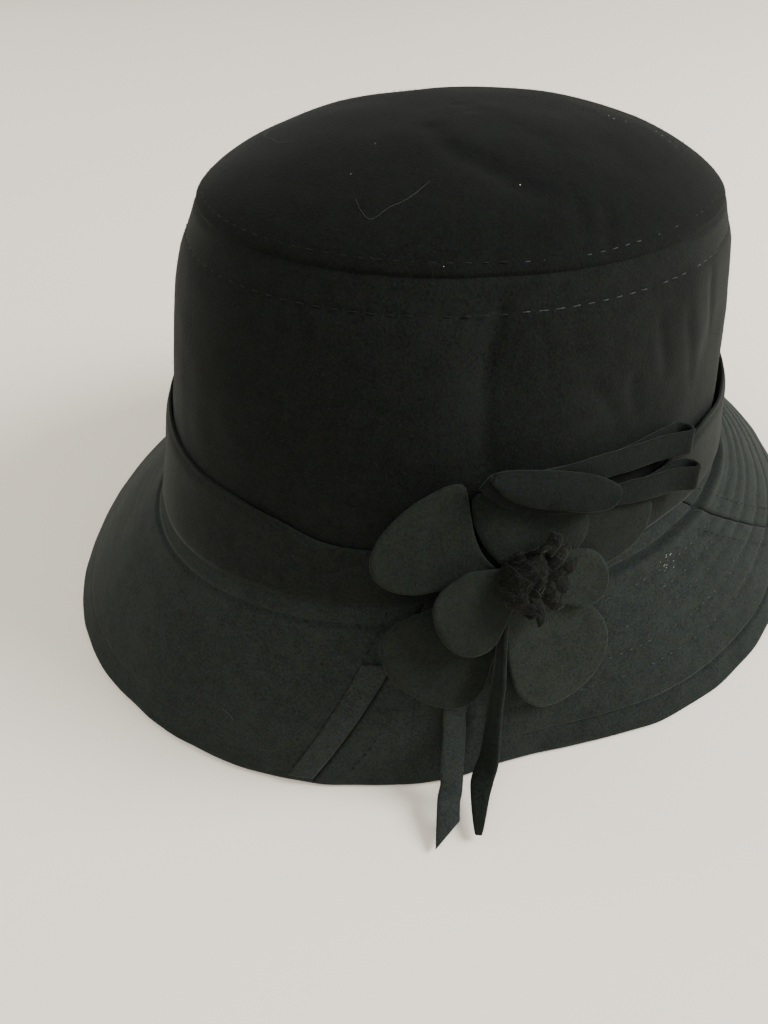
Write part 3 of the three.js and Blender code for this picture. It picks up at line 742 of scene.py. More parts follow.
def make_brim(name, node, from_seam, to_seam, columns):
    per_turn = math.pi * (HEAD_LENGTH + HEAD_WIDTH) / 2 / 360
    share = np.concatenate([np.linspace(0.004, 0.80, 90), np.linspace(0.806, 0.985, 36)])[None, :]
    across = 0.5 - 0.5 * np.cos(np.linspace(0, np.pi, columns))
    across = (0.5 * across + 0.5 * np.linspace(0, 1, columns))[:, None]
    trim = 0.08
    start = from_seam[0] + (from_seam[1] - from_seam[0]) * share + trim
    finish = to_seam[0] + (to_seam[1] - to_seam[0]) * share - trim
    turn = start + (finish - start) * across
    bare = brim_point(turn, share + 0 * turn, 0 * turn)
    flare = 1 + 0.35 * share
    from_start = (turn - start) * per_turn * flare
    from_finish = (finish - turn) * per_turn * flare
    sunk = row_strength(turn)
    stand = 0.16 * ripple(bare, 30.0, 21) + 0.04 * ripple(bare, 12.0, 22)
    for row in BRIM_STITCH_SHARES:
        stand = stand - 0.36 * sunk * hill((share - row) * 56, 1.1)
    stand = stand - 0.8 * (1 - sunk) * hill((share - 0.112) * 56, 0.7)
    stand = stand - 0.75 * sunk * hill((share - HEM_SHARE) * 56, 0.6)
    for distance in (from_start, from_finish):
        stand = stand - 0.7 * hill(distance, 0.6)
        stand = stand + 0.3 / (1 + np.exp(np.minimum((distance - SEAM_ALLOWANCE) / 0.4, 50)))
    under = np.clip((turn - 56) / 14, 0, 1) * np.clip((128 - turn) / 16, 0, 1)
    stand = stand + under * (0.6 * hill(share * 56 - 7.6, 1.4) - 2.2 * hill(share * 56 - 5.4, 0.8))
    outer = brim_point(turn, share + 0 * turn, stand - 0.15)
    wall = (outward(turn) * brim_wall(turn)[..., None]) * 0.94
    inner = outer - wall
    edge = brim_point(turn[:, -1], np.ones(columns), np.zeros(columns))
    edge = edge + unit(outward(turn[:, -1])) * (0.22 * ripple(edge, 16.0, 23))[:, None]
    out = outward(turn[:, -1])
    width = brim_wall(turn[:, -1])[:, None] * 0.94
    profile = [(-0.05, 1.75), (0.0, 1.2), (-0.25, 0.55), (-0.75, 0.12), (-1.25, 0.0)]
    rim_out = [edge * (1, 1, 0) + out * a + np.array([0, 0, b]) for a, b in profile]
    rim_in = [edge * (1, 1, 0) - out * (width + a) + np.array([0, 0, b]) for a, b in profile[::-1]]
    rim = np.stack(rim_out + rim_in, axis=1)
    loops = np.concatenate([outer, rim, inner[:, ::-1]], axis=1)
    piece = shell(name, loops, False)
    return dress(piece, brim_felt, "brim_felt", node)


def make_seam_strip():
    """The raised strip of felt beside the front seam, on the side away from the flower, in a lighter copy of the brim's
    felt: painted light on its raised face.
    """
    share = np.linspace(0.30, 0.975, 100)
    seam = SEAM_FRONT[0] + (SEAM_FRONT[1] - SEAM_FRONT[0]) * share
    near = seam - 0.14
    far = seam - (5.3 - 1.5 * share)
    profile = [
        (0.0, -0.35), (0.0, 0.30), (0.03, 0.52), (0.10, 0.64), (0.5, 0.68), (0.90, 0.66), (0.97, 0.56),
        (1.0, 0.35), (1.0, -0.35),
    ]
    tops = [brim_point(near + (far - near) * a, share, b + 0 * share) for a, b in profile]
    lows = [brim_point(near + (far - near) * a, share, -0.6 + 0 * share) for a in (0.9, 0.6, 0.3, 0.1, 0.02)]
    lows.append(brim_point(near, share, -0.5 + 0 * share))
    lows.insert(0, brim_point(far, share, -0.5 + 0 * share))
    loops = np.stack(tops + lows, axis=1)
    return dress(shell("front_seam_strip", loops, False), seam_felt_painted_lit, "brim_felt")


# Strips of the bow


def strip(name, middles, sides, width, thick, taper=None):
    """A felt strip with soft cut edges through middles; sides point across it."""
    ahead = unit(np.gradient(middles, axis=0))
    side = unit(sides - ahead * np.sum(sides * ahead, axis=1, keepdims=True))
    face = np.cross(side, ahead)
    corner = thick * 0.32
    half, skin = width / 2, thick / 2
    section = [
        (half, 0.0), (half - corner * 0.25, skin * 0.62), (half - corner, skin),
        (half * 0.35, skin * 1.04), (-half * 0.35, skin * 1.04), (-half + corner, skin),
        (-half + corner * 0.25, skin * 0.62), (-half, 0.0), (-half + corner * 0.25, -skin * 0.62),
        (-half + corner, -skin), (-half * 0.35, -skin * 0.96), (half * 0.35, -skin * 0.96),
        (half - corner, -skin), (half - corner * 0.25, -skin * 0.62),
    ]
    scale = np.ones(len(middles)) if taper is None else taper
    loops = [middles + side * (a * scale)[:, None] + face * b for a, b in section]
    return shell(name, np.stack(loops, axis=1), False)


def loop_place(share, length):
    """Ahead from a loop's root, and out from its inner leg."""
    radius = LOOP_OPENING / 2
    leg_share = 0.4
    opening = STRIP_FELT + 0.1
    out_leg = np.clip(share / leg_share, 0, 1)
    back_leg = np.clip((1 - share) / leg_share, 0, 1)
    angle = np.pi * (share - leg_share) / (1 - 2 * leg_share)
    turn_ahead = length - radius + radius * np.sin(angle)
    turn_out = radius + radius * np.cos(angle)
    going = share < leg_share
    coming = share > 1 - leg_share
    ahead = np.where(going, out_leg * (length - radius), turn_ahead)
    ahead = np.where(coming, back_leg * (length - radius), ahead)
    out = np.where(going, opening + (LOOP_OPENING - opening) * out_leg ** 8, turn_out)
    return ahead, np.where(coming, 0.0, out)


def make_loop(name):
    root_turn, root_rise, root_stand, end_turn, end_rise, end_stand = LOOP_ROWS[name]
    per_turn = math.pi * (HEAD_LENGTH + HEAD_WIDTH) / 2 / 360
    length = (end_turn - root_turn) * per_turn
    share = np.linspace(0, 1, 130)
    ahead, out = loop_place(share, length)
    part = ahead / length
    turn = root_turn + ahead / per_turn
    rise = root_rise + (end_rise - root_rise) * part
    stand = root_stand + (end_stand - root_stand) * part ** 0.7 + STRIP_FELT / 2 + out
    middles = crown_point(turn, rise, stand + 0.12 * np.sin(ahead * 0.35))
    up = crown_point(root_turn, root_rise + 0.1, 0.0) - crown_point(root_turn, root_rise, 0.0)
    gathered = 0.3 + 0.75 * np.clip(part / 0.42, 0, 1) ** 0.8
    tucked = np.where(share > 0.5, 1 - 0.45 * np.clip((0.86 - part) / 0.3, 0, 1), 1.0)
    sides = np.tile(up, (len(share), 1))
    piece = strip(name + "_strip", middles, sides, STRIP_WIDTH, STRIP_FELT - 0.2, gathered * tucked)
    # The loops take the darker copy of the bow's felt: painted shade.
    return dress(piece, loop_felt_painted_shade, "strip_felt", name)


def make_tail(name):
    rows = TAIL_ROWS[name]
    knots = brim_point(rows[:, 0], rows[:, 1], rows[:, 2])
    keys = np.arange(len(rows), dtype=float)
    at = np.linspace(0, len(rows) - 1, 110)
    middles = np.stack([along(keys, knots[:, k], at) for k in range(3)], axis=1)
    twist = np.radians(along(keys, rows[:, 3], at))[:, None]
    out = outward(rows[0, 0])
    ahead = unit(np.gradient(middles, axis=0))
    level = np.array([-out[1], out[0], 0.0])
    level = unit(level - ahead * (ahead @ level)[:, None])
    side = level * np.cos(twist) + np.cross(ahead, level) * np.sin(twist)
    if name == "tail_left":
        taper = np.ones(len(at))
    else:
        taper = 1 - 0.72 * np.clip((at - 5.9) / 1.1, 0, 1) ** 1.2 - 0.35 * np.clip((2 - at) / 2, 0, 1)
    piece = strip(name + "_strip", middles, side, STRIP_WIDTH - 0.1, STRIP_FELT - 0.3, taper)
    if name == "tail_left":
        cut_end(piece, middles[-1], ahead[-1], side[-1])
    # Two tones of one ribbon: the left tail is painted lighter (painted light), the right tail darker (painted shade on
    # its face turned from the lamp).
    tone = strip_felt if name == "tail_left" else petal_felt
    return dress(piece, tone, "strip_felt", name)


def cut_end(piece, end, ahead, side):
    """Slants the end of a strip, as if cut with scissors."""
    stretch = 9.0
    for vertex in piece.data.vertices:
        point = np.array(vertex.co) / MM - CENTRE
        before = float((end - point) @ ahead)
        if -1.0 < before < stretch and np.linalg.norm(point - end) < stretch + 4:
            push = -1.2 * float((point - end) @ side) * (1 - max(before, 0) / stretch)
            vertex.co = (np.array(vertex.co) + ahead * push * MM).tolist()


# Flower


def flower_frame():
    """Seat of the flower and its directions: across, up and out."""
    slope = math.radians(FLOWER_SLOPE)
    plan = outward(FLOWER_TURN)
    out = plan * math.cos(slope) + np.array([0, 0, math.sin(slope)])
    across = np.array([-plan[1], plan[0], 0.0])
    up = np.cross(out, across)
    seat = crown_point(FLOWER_TURN, 0.0, GAP + BAND_FELT)
    return seat - across * 8 + up * 8, across, up, out


SEAT, ACROSS, UP, OUT = flower_frame()


def on_flower(x, y, z):
    """Points from the flower's own measures."""
    return SEAT + x[..., None] * ACROSS + y[..., None] * UP + z[..., None] * OUT


def closed_curve(points, count):
    """A smooth closed outline through points, in even steps."""
    points = np.array(points, float)
    n = len(points)
    t = np.linspace(0, 1, 16, endpoint=False)[:, None]
    runs = []
    for i in range(n):
        a, b, c, d = (points[(i + k) % n] for k in (-1, 0, 1, 2))
        runs.append(cubic(a, b, c, d, t))
    line = np.concatenate(runs + [points[:1]])
    run = np.concatenate([[0], np.cumsum(np.linalg.norm(np.diff(line, axis=0), axis=1))])
    at = np.linspace(0, run[-1], count + 1)[:-1]
    return np.stack([np.interp(at, run, line[:, k]) for k in range(2)], axis=1)


def open_curve(points, count):
    """A smooth open line through points, in even steps."""
    keys = np.arange(len(points), dtype=float)
    fine = np.linspace(0, len(points) - 1, 400)
    line = np.stack([along(keys, points[:, k], fine) for k in range(2)], axis=1)
    run = np.concatenate([[0], np.cumsum(np.linalg.norm(np.diff(line, axis=0), axis=1))])
    at = np.linspace(0, run[-1], count)
    return np.stack([np.interp(at, run, line[:, k]) for k in range(2)], axis=1)


def make_petal(name, seed):
    seat, lift, outline = PETAL_ROWS[name]
    rim = closed_curve(outline, 160)
    middle = rim.mean(axis=0)
    rings = np.array([1.0, 0.99, 0.975, 0.95, 0.91, 0.85, 0.77, 0.68, 0.58, 0.47, 0.36, 0.25, 0.14, 0.06])
    plan = middle + (rim - middle)[None, :, :] * rings[:, None, None]
    far = np.linalg.norm(rim, axis=1).max()
    share = np.linalg.norm(plan, axis=-1) / far
    height = seat + lift * share ** 2
    flat = np.concatenate([plan, 0 * plan[..., :1]], axis=-1)
    height = height + 0.25 * ripple(flat, 15.0, seed) * rings[:, None]
    height = height + 0.5 * rings[:, None] ** 6 * np.sin(np.arctan2(plan[..., 1], plan[..., 0]) * 3 + seed)
    edge = (1 - rings)[:, None] * np.linalg.norm(rim - middle, axis=1)[None, :]
    soft = np.clip(1 - edge / 0.8, 0, 1) ** 2 * 0.44
    across, up = plan[..., 0], plan[..., 1]
    top = on_flower(across, up, height - soft)
    under = on_flower(across, up, height - 1.1 + soft)
    return close_disc(name, top, under)


def sheet_loops(ahead, high, half):
    """Closed loops round a bent sheet's thickness, from its profile in each column."""
    slope_a = np.gradient(ahead, axis=1)
    slope_h = np.gradient(high, axis=1)
    size = np.maximum(np.hypot(slope_a, slope_h), 1e-6)
    skin = np.sin(np.linspace(0.12, np.pi - 0.12, ahead.shape[1])) ** 0.25 * half
    off_a, off_h = -slope_h / size * skin, slope_a / size * skin
    outer = np.stack([ahead + off_a, high + off_h], axis=-1)
    inner = np.stack([ahead - off_a, high - off_h], axis=-1)
    return np.concatenate([outer, inner[:, ::-1]], axis=1)


def make_folded_petal():
    """The petal whose upper half folds forward over the one below it."""
    columns = 90
    fold = open_curve(FOLD_LINE, columns)
    free = open_curve(FREE_EDGE, columns)
    u = np.linspace(0, 1, columns)
    way = unit(fold - free)
    width = np.linalg.norm(fold - free, axis=1)
    curl = 2.9 * np.clip((u - 0.45) / 0.25, 0, 1) * np.clip((1 - u) / 0.12, 0, 1) ** 0.5
    near_end = np.sin(np.pi * np.clip(u, 0.02, 0.98)) ** 0.5
    t = np.linspace(0, 1, 26)[None, :]
    ahead = t * width[:, None]
    high = 7.6 + curl[:, None] * (1 - t) ** 3 - 0.8 * t + 0.9 * np.sin(np.pi * t) * near_end[:, None]
    radius = (0.4 + 0.8 * near_end)[:, None]
    a = np.radians(np.linspace(15, 165, 9))[None, :]
    fold_ahead = width[:, None] + radius * np.sin(a)
    fold_high = 6.8 - radius + radius * np.cos(a)
    back = np.linspace(0, 1, 14)[None, :] * (2 + 8 * near_end)[:, None]
    under_ahead = width[:, None] - back
    under_high = 6.8 - 2 * radius - 0.06 * back
    profile_ahead = np.concatenate([ahead, fold_ahead, under_ahead], axis=1)
    profile_high = np.concatenate([high, fold_high, under_high], axis=1)
    loops = sheet_loops(profile_ahead, profile_high, PETAL_FELT * 0.45)
    across = free[:, None, 0] + way[:, None, 0] * loops[..., 0]
    up = free[:, None, 1] + way[:, None, 1] * loops[..., 0]
    piece = shell("petal_7_felt", on_flower(across, up, loops[..., 1]), False)
    # The folded petal takes the same darker felt: painted shade under and beside its fold.
    return dress(piece, loop_felt_painted_shade, "petal_felt", "petal_7")


def close_disc(name, top, under):
    """Joins the rings of a petal's two faces into one closed sheet."""
    rings, count = top.shape[:2]
    hub_top = top[-1].mean(axis=0)
    hub_under = under[-1].mean(axis=0)
    points = np.concatenate([top.reshape(-1, 3), under.reshape(-1, 3), [hub_top], [hub_under]])
    k = np.arange(count)
    k2 = (k + 1) % count
    faces = []
    for r in range(rings - 1):
        a, b = r * count, (r + 1) * count
        faces.append(np.stack([a + k, a + k2, b + k2, b + k], axis=1))
        a, b = a + rings * count, b + rings * count
        faces.append(np.stack([a + k2, a + k, b + k, b + k2], axis=1))
    under_rim = rings * count
    faces.append(np.stack([k2, k, under_rim + k, under_rim + k2], axis=1))
    faces = [tuple(face) for group in faces for face in group.tolist()]
    last = (rings - 1) * count
    hub = 2 * rings * count
    for a, b in zip(k.tolist(), k2.tolist()):
        faces.append((last + a, last + b, hub))
        faces.append((under_rim + last + b, under_rim + last + a, hub + 1))
    mesh = bpy.data.meshes.new(name)
    mesh.from_pydata(((points + CENTRE) * MM).tolist(), [], faces)
    tidy = bmesh.new()
    tidy.from_mesh(mesh)
    bmesh.ops.recalc_face_normals(tidy, faces=tidy.faces)
    tidy.to_mesh(mesh)
    tidy.free()
    mesh.polygons.foreach_set("use_smooth", [True] * len(mesh.polygons))
    return link(name + "_felt", mesh)


# Locks of the flower's middle: turn, root radius, length, width, lean at the root and at the tip, twist.
LOCK_ROWS = [
    (95, 4.4, 10.5, 5.8, 30, -55, 0.1), (125, 4.8, 11.0, 6.2, 34, -60, 0.0),
    (155, 5.0, 11.5, 6.2, 38, -62, -0.1), (185, 5.0, 11.5, 6.2, 40, -60, 0.1),
    (215, 4.8, 11.0, 6.0, 38, -54, 0.1), (245, 4.4, 10.5, 5.2, 38, -26, -0.2),
    (140, 2.8, 10.0, 5.2, 18, -46, 0.2), (200, 2.8, 10.0, 5.2, 16, -40, -0.2),
    (170, 1.6, 9.5, 4.4, 8, -30, 0.3), (272, 4.2, 9.5, 4.6, 28, 96, 0.3),
    (300, 4.2, 9.0, 5.2, 24, 112, -0.3), (328, 4.4, 8.6, 5.0, 20, 124, 0.3),
    (356, 4.4, 9.2, 5.2, 22, 128, -0.1), (24, 4.2, 8.8, 4.8, 20, 116, -0.3),
    (52, 4.0, 9.4, 4.6, 22, 100, 0.3), (76, 4.0, 9.5, 4.6, 28, 36, -0.2),
    (310, 2.4, 8.6, 4.4, 4, 92, 0.5), (350, 2.2, 8.2, 4.4, 0, 108, -0.5),
    (30, 2.4, 8.4, 4.2, 2, 80, 0.4), (262, 2.2, 9.4, 3.8, 12, 50, 0.3), (74, 2.0, 9.2, 3.8, 6, 18, -0.4),
]


def make_fringe():
    """The flower's middle: felt strips cut from one roll, closed over it on one side, curled on the other."""
    stations = 18
    t = np.linspace(0, 1, stations)
    section = [(1, 0.5), (0.5, 1), (-0.5, 1), (-1, 0.5), (-1, -0.5), (-0.5, -1), (0.5, -1), (1, -0.5)]
    points, faces = [], []
    for number, (turn, root, long, wide, lean_in, lean_out, twist) in enumerate(LOCK_ROWS):
        angle = math.radians(turn)
        lean = np.radians(lean_in + (lean_out - lean_in) * t ** 1.3)
        step = long / (stations - 1)
        out = root + np.cumsum(np.sin(lean)) * step
        high = 4.0 + np.cumsum(np.cos(lean)) * step
        half = wide / 2 * (1 - 0.5 * t ** 2) * (1 + 0.07 * np.sin(9 * t + number))
        skin = 0.55 * (1 - 0.35 * t)
        roll = twist * t
        base = len(points)
        for i in range(stations):
            for a, b in section:
                side = half[i] * a * math.cos(roll[i])
                depth = skin[i] * b + half[i] * a * math.sin(roll[i]) + 0.22 * abs(a) * half[i] * t[i]
                reach = out[i] + depth * math.cos(lean[i])
                height = high[i] - depth * math.sin(lean[i])
                x = reach * math.cos(angle) - side * math.sin(angle)
                y = reach * math.sin(angle) + side * math.cos(angle)
                points.append((x, y, height))
        count = len(section)
        for i in range(stations - 1):
            for k in range(count):
                a, b = base + i * count + k, base + i * count + (k + 1) % count
                faces.append((a, b, b + count, a + count))
        faces.append(tuple(base + k for k in range(count))[::-1])
        faces.append(tuple(base + (stations - 1) * count + k for k in range(count)))
    stem, stem_faces = make_stem(len(points))
    everything = np.concatenate([np.array(points), stem])
    rumple = [0.34 * ripple(everything, 3.6, seed) for seed in (181, 182, 183)]
    everything = everything + np.stack(rumple, axis=1)
    places = on_flower(everything[:, 0] * 1.12 - 1.0, everything[:, 1] * 1.1 + 0.2, everything[:, 2])
    mesh = bpy.data.meshes.new("fringe")
    mesh.from_pydata(((places + CENTRE) * MM).tolist(), [], faces + stem_faces)
    tidy = bmesh.new()
    tidy.from_mesh(mesh)
    bmesh.ops.recalc_face_normals(tidy, faces=tidy.faces)
    tidy.to_mesh(mesh)
    tidy.free()
    mesh.polygons.foreach_set("use_smooth", [True] * len(mesh.polygons))
    piece = link("flower_fringe", mesh)
    return dress(piece, fringe_felt, "fringe_felt", "flower_centre")


def make_stem(base):
    """Rolled felt under the fringe."""
    sides = 40
    profile = [(0.6, 1.0), (4.2, 1.0), (4.45, 2.0), (4.4, 6.0), (4.1, 8.0), (3.2, 8.9), (0.8, 9.0)]
    points, faces = [], []
    for radius, high in profile:
        for k in range(sides):
            turn = 2 * math.pi * k / sides
            points.append((radius * math.cos(turn), radius * math.sin(turn), high))
    for r in range(len(profile) - 1):
        for k in range(sides):
            a, b = base + r * sides + k, base + r * sides + (k + 1) % sides
            faces.append((a, b, b + sides, a + sides))
    faces.append(tuple(base + k for k in range(sides))[::-1])
    faces.append(tuple(base + (len(profile) - 1) * sides + k for k in range(sides)))
    return np.array(points), faces


# Stitches, nap and hairs


def stitches(name, surface, pitch, long, thick, material, slot, span=(0.0, 1.0), kept=1.0, seed=5):
    """A row of thread stitches along surface(t, side), for t within span."""
    t = np.linspace(span[0], span[1], 3000)
    line = surface(t, 0.0)
    run = np.concatenate([[0], np.cumsum(np.linalg.norm(np.diff(line, axis=0), axis=1))])
    count = int(run[-1] // pitch)
    at = np.interp((np.arange(count) + 0.5) * pitch, run, t)
    eps = 1e-4
    dice = np.random.default_rng(seed)
    at = at[dice.uniform(size=count) < kept]
    count = len(at)
    here = surface(at, 0.0)
    ahead = unit(surface(at + eps, 0.0) - surface(at - eps, 0.0))
    aside = unit(surface(at, 0.5) - surface(at, -0.5))
    face = unit(np.cross(ahead, aside))
    face = np.where(face[:, 2:] < -0.2, -face, face)
    outer = unit(here * (1, 1, 0))
    face = np.where(np.sum(face * outer, axis=1, keepdims=True) + face[:, 2:] < 0, -face, face)
    jitter = dice.uniform(-1, 1, (count, 3))
    ahead = unit(ahead + aside * jitter[:, :1] * 0.07)
    sides = np.linspace(0, 2 * np.pi, 7)[:-1]
    stations = [(-0.5, -0.5, 0.45), (-0.36, 0.1, 0.9), (0.0, 0.35, 1.0), (0.36, 0.1, 0.9), (0.5, -0.5, 0.45)]
    points = []
    for u, lift, girth in stations:
        for angle in sides:
            a = (u * long * (1 + 0.12 * jitter[:, 1]))[:, None]
            b = math.cos(angle) * thick / 2 * girth
            c = math.sin(angle) * thick / 2 * girth * 0.8 + lift * thick * 0.6 + 0.1
            points.append(here + ahead * a + aside * b + face * (c + 0.05 * jitter[:, 2:]))
    cloud = np.stack(points, axis=1)
    ring = band_of_faces(5, 6, False)
    base = (np.arange(count) * 30)[:, None, None]
    faces = (ring[None] + base).reshape(-1, 4).tolist()
    for b in (np.arange(count) * 30).tolist():
        faces.append(tuple(b + k for k in range(6))[::-1])
        faces.append(tuple(b + 24 + k for k in range(6)))
    mesh = bpy.data.meshes.new(name)
    mesh.from_pydata(((cloud.reshape(-1, 3) + CENTRE) * MM).tolist(), [], faces)
    mesh.polygons.foreach_set("use_smooth", [True] * len(mesh.polygons))
    return dress(link(name, mesh), material, slot)


def make_stitches():
    low = 1 - CROWN_ROW_BELOW / CROWN_RISE

    def below(t, side):
        return crown_point(t * 360, low + side / CROWN_RISE, -0.26 - wall_crease(t * 360, low))

    def above(t, side):
        share = np.interp(t * 360, [20, 61, 70, 85, 100, 360], [0.027, 0.026, 0.031, 0.037, 0.038, 0.03]) + side * 0.008
        return tip_point(t * 360, share + 0 * t, 0.26 + 0 * t)

    # The stitches near the flower take the lighter copy of the thread, painted light, and the rest the darker copy,
    # painted shade.
    near, rest = (48 / 360, 100 / 360), (100 / 360, 408 / 360)
    stitches("wall_topstitch", below, 4.35, 2.2, 0.32, thread_painted_lit, "crown_felt", near, 0.92)
    stitches("wall_topstitch_round", below, 4.35, 2.2, 0.36, thread_painted_shade, "crown_felt", rest)
    stitches("tip_topstitch", above, 4.1, 1.9, 0.28, thread_painted_lit, "crown_felt", near, 0.88)
    stitches("tip_topstitch_round", above, 4.1, 2.0, 0.34, thread_painted_shade, "crown_felt", rest)
    for number, row in enumerate(BRIM_STITCH_SHARES[1:]):
        def ring(t, side, row=row):
            return brim_point(t * 360, row + side / 56 + 0 * t, -0.46 + 0 * t)
        name = "brim_topstitch_%d" % (number + 1)
        # The brim's rows, all on the lit side, take the lighter thread: painted light.
        stitches(name, ring, 3.4, 1.3, 0.28, brim_thread_painted_highlight, "brim_felt", (57 / 360, 150 / 360), 0.62, 60 + number)
    seam_rows = (
        ("front_seam_left", SEAM_FRONT, -1), ("front_seam_right", SEAM_FRONT, 1),
        ("side_seam_left", SEAM_SIDE, -1), ("side_seam_right", SEAM_SIDE, 1),
    )
    for name, seam, way in seam_rows:
        def beside(t, side, seam=seam, way=way):
            share = 0.03 + 0.92 * t
            turn = seam[0] + (seam[1] - seam[0]) * share
            turn = turn + (way * (SEAM_ALLOWANCE - 1.0) + side) / 1.668 / (1 + 0.35 * share)
            return brim_point(turn, share, 0.12 + 0 * t)
        stitches(name + "_topstitch", beside, 3.0, 1.6, 0.30, thread_painted_shade, "brim_felt")


def surface_samples(piece, count, seed):
    """Random places on a piece, with their normals, in metres."""
    mesh = piece.data
    mesh.calc_loop_triangles()
    tris = np.empty(len(mesh.loop_triangles) * 3, dtype=np.int32)
    mesh.loop_triangles.foreach_get("vertices", tris)
    tris = tris.reshape(-1, 3)
    places = np.empty(len(mesh.vertices) * 3)
    mesh.vertices.foreach_get("co", places)
    places = places.reshape(-1, 3)
    a, b, c = (places[tris[:, k]] for k in range(3))
    cross = np.cross(b - a, c - a)
    area = np.linalg.norm(cross, axis=1)
    dice = np.random.default_rng(seed)
    chosen = dice.choice(len(tris), size=count, p=area / area.sum())
    u, v = dice.uniform(size=(2, count, 1))
    flip = u + v > 1
    u, v = np.where(flip, 1 - u, u), np.where(flip, 1 - v, v)
    points = a[chosen] + (b - a)[chosen] * u + (c - a)[chosen] * v
    return points, unit(cross[chosen]), dice


def make_nap(name, pieces, counts, long, slot, material, keep=None, seed=90):
    """Short fibres that stand off the felt."""
    points, faces, base = [], [], 0
    for number, (piece, count) in enumerate(zip(pieces, counts)):
        root, normal, dice = surface_samples(piece, count, seed + number)
        if keep is not None:
            chosen = keep(root, normal)
            root, normal = root[chosen], normal[chosen]
        count = len(root)
        lean = unit(dice.normal(size=(count, 3)))
        way = unit(normal * dice.uniform(0.25, 1.0, (count, 1)) + lean * 0.9)
        below = np.sum(way * normal, axis=1, keepdims=True)
        way = unit(way + normal * np.maximum(0.15 - below, 0))
        size = long * MM * dice.uniform(0.35, 1.0, (count, 1)) ** 1.5
        bend = unit(dice.normal(size=(count, 3))) * size * 0.35
        aside = unit(np.cross(way, lean)) * MM * 0.028
        middle = root + way * size * 0.55 + bend
        tip = root + way * size + bend * 0.2
        clear = (middle[:, 2] > 0.0003) & (tip[:, 2] > 0.0003)
        root, middle, tip, aside = root[clear], middle[clear], tip[clear], aside[clear]
        count = len(root)
        cloud = np.stack([root - aside, root + aside, middle + aside * 0.8, middle - aside * 0.8, tip], axis=1)
        points.append(cloud.reshape(-1, 3))
        start = base + np.arange(count) * 5
        faces.extend(zip(start, start + 1, start + 2, start + 3))
        faces.extend(zip(start + 3, start + 2, start + 4))
        base += count * 5
    mesh = bpy.data.meshes.new(name)
    mesh.from_pydata(np.concatenate(points).tolist(), [], [tuple(int(v) for v in face) for face in faces])
    return dress(link(name, mesh), material, slot)


def long_hair(name, knots, thick, material, slot):
    """One loose hair through knots in millimetres."""
    knots = np.array(knots, float)
    keys = np.arange(len(knots), dtype=float)
    at = np.linspace(0, len(knots) - 1, 12 * len(knots))
    middles = np.stack([along(keys, knots[:, k], at) for k in range(3)], axis=1)
    ahead = unit(np.gradient(middles, axis=0))
    side = unit(np.cross(ahead, np.array([0.3, 0.5, 0.8])))
    face = np.cross(side, ahead)
    angles = np.radians([0, 90, 180, 270])
    loops = [middles + (side * math.cos(a) + face * math.sin(a)) * thick / 2 for a in angles]
    piece = shell(name, np.stack(loops, axis=1), False)
    return dress(piece, material, slot)


# Columns: turn, share of the way in from the tip's seam.
TIP_HAIRS = {
    "curled_hair": [(-52, 0.267), (-45, 0.262), (-41, 0.280), (-36, 0.300), (-31, 0.309), (-26, 0.349)],
    "wavy_hair": [
        (14.3, 0.203), (17.0, 0.165), (19.9, 0.142), (22.5, 0.188), (24.6, 0.211), (26.8, 0.247),
        (29.3, 0.308),
    ],
}


# Columns: turn, share; white flecks on the tip and, in a cluster, on the brim.
TIP_FLECKS = [
    (126, 0.484), (123, 0.466), (124.5, 0.419), (35.1, 0.024), (126.3, 0.296), (124.0, 0.275),
    (121.0, 0.248), (118.6, 0.224), (4.2, 0.473), (8.0, 0.30), (52.0, 0.30),
]
BRIM_CLUSTER = (79.3, 0.197)


def flecks(name, places, size, material, slot, seed):
    """Small irregular bits of lint."""
    dice = np.random.default_rng(seed)
    corners = np.array([(1, 1, 1), (1, -1, -1), (-1, 1, -1), (-1, -1, 1)]) / math.sqrt(3)
    cloud, faces = [], []
    for number, place in enumerate(places):
        spread = corners * dice.uniform(0.35, 1.0, (4, 3)) * size * dice.uniform(0.6, 1.2)
        cloud.append(place + spread)
        base = number * 4
        faces += [(base, base + 1, base + 2), (base, base + 3, base + 1)]
        faces += [(base, base + 2, base + 3), (base + 1, base + 3, base + 2)]
    mesh = bpy.data.meshes.new(name)
    mesh.from_pydata(((np.concatenate(cloud) + CENTRE) * MM).tolist(), [], faces)
    return dress(link(name, mesh), material, slot)


def make_hairs():
    for name, rows in TIP_HAIRS.items():
        rows = np.array(rows)
        knots = tip_point(rows[:, 0], rows[:, 1], -0.3 + 0 * rows[:, 0])
        long_hair(name, knots, 0.075, pale_hair, "crown_felt")
    rows = np.array([(5.2, 0.69), (5.9, 0.70), (6.6, 0.71), (7.2, 0.735)])
    long_hair("brim_hair", brim_point(rows[:, 0], rows[:, 1], 0.4 + 0 * rows[:, 0]), 0.12, pale_hair, "brim_felt")
    rows = np.array(TIP_FLECKS)
    flecks("tip_lint", tip_point(rows[:, 0], rows[:, 1], -0.2 + 0 * rows[:, 0]), 0.26, white_fluff, "crown_felt", 201)
    dice = np.random.default_rng(202)
    turns = BRIM_CLUSTER[0] + dice.normal(size=16) * 0.9
    shares = BRIM_CLUSTER[1] + dice.normal(size=16) * 0.035
    flecks("brim_lint", brim_point(turns, shares, 0.5 + 0 * turns), 0.24, white_fluff, "brim_felt", 203)


# Scene


def make_table():
    mesh = bpy.data.meshes.new("table")
    far = 3.0
    corners = [(-far, -far, 0.0), (far, -far, 0.0), (far, far, 0.0), (-far, far, 0.0)]
    mesh.from_pydata(corners, [], [(0, 1, 2, 3)])
    table = link("table", mesh)
    mesh.materials.append(table_top("table_top"))


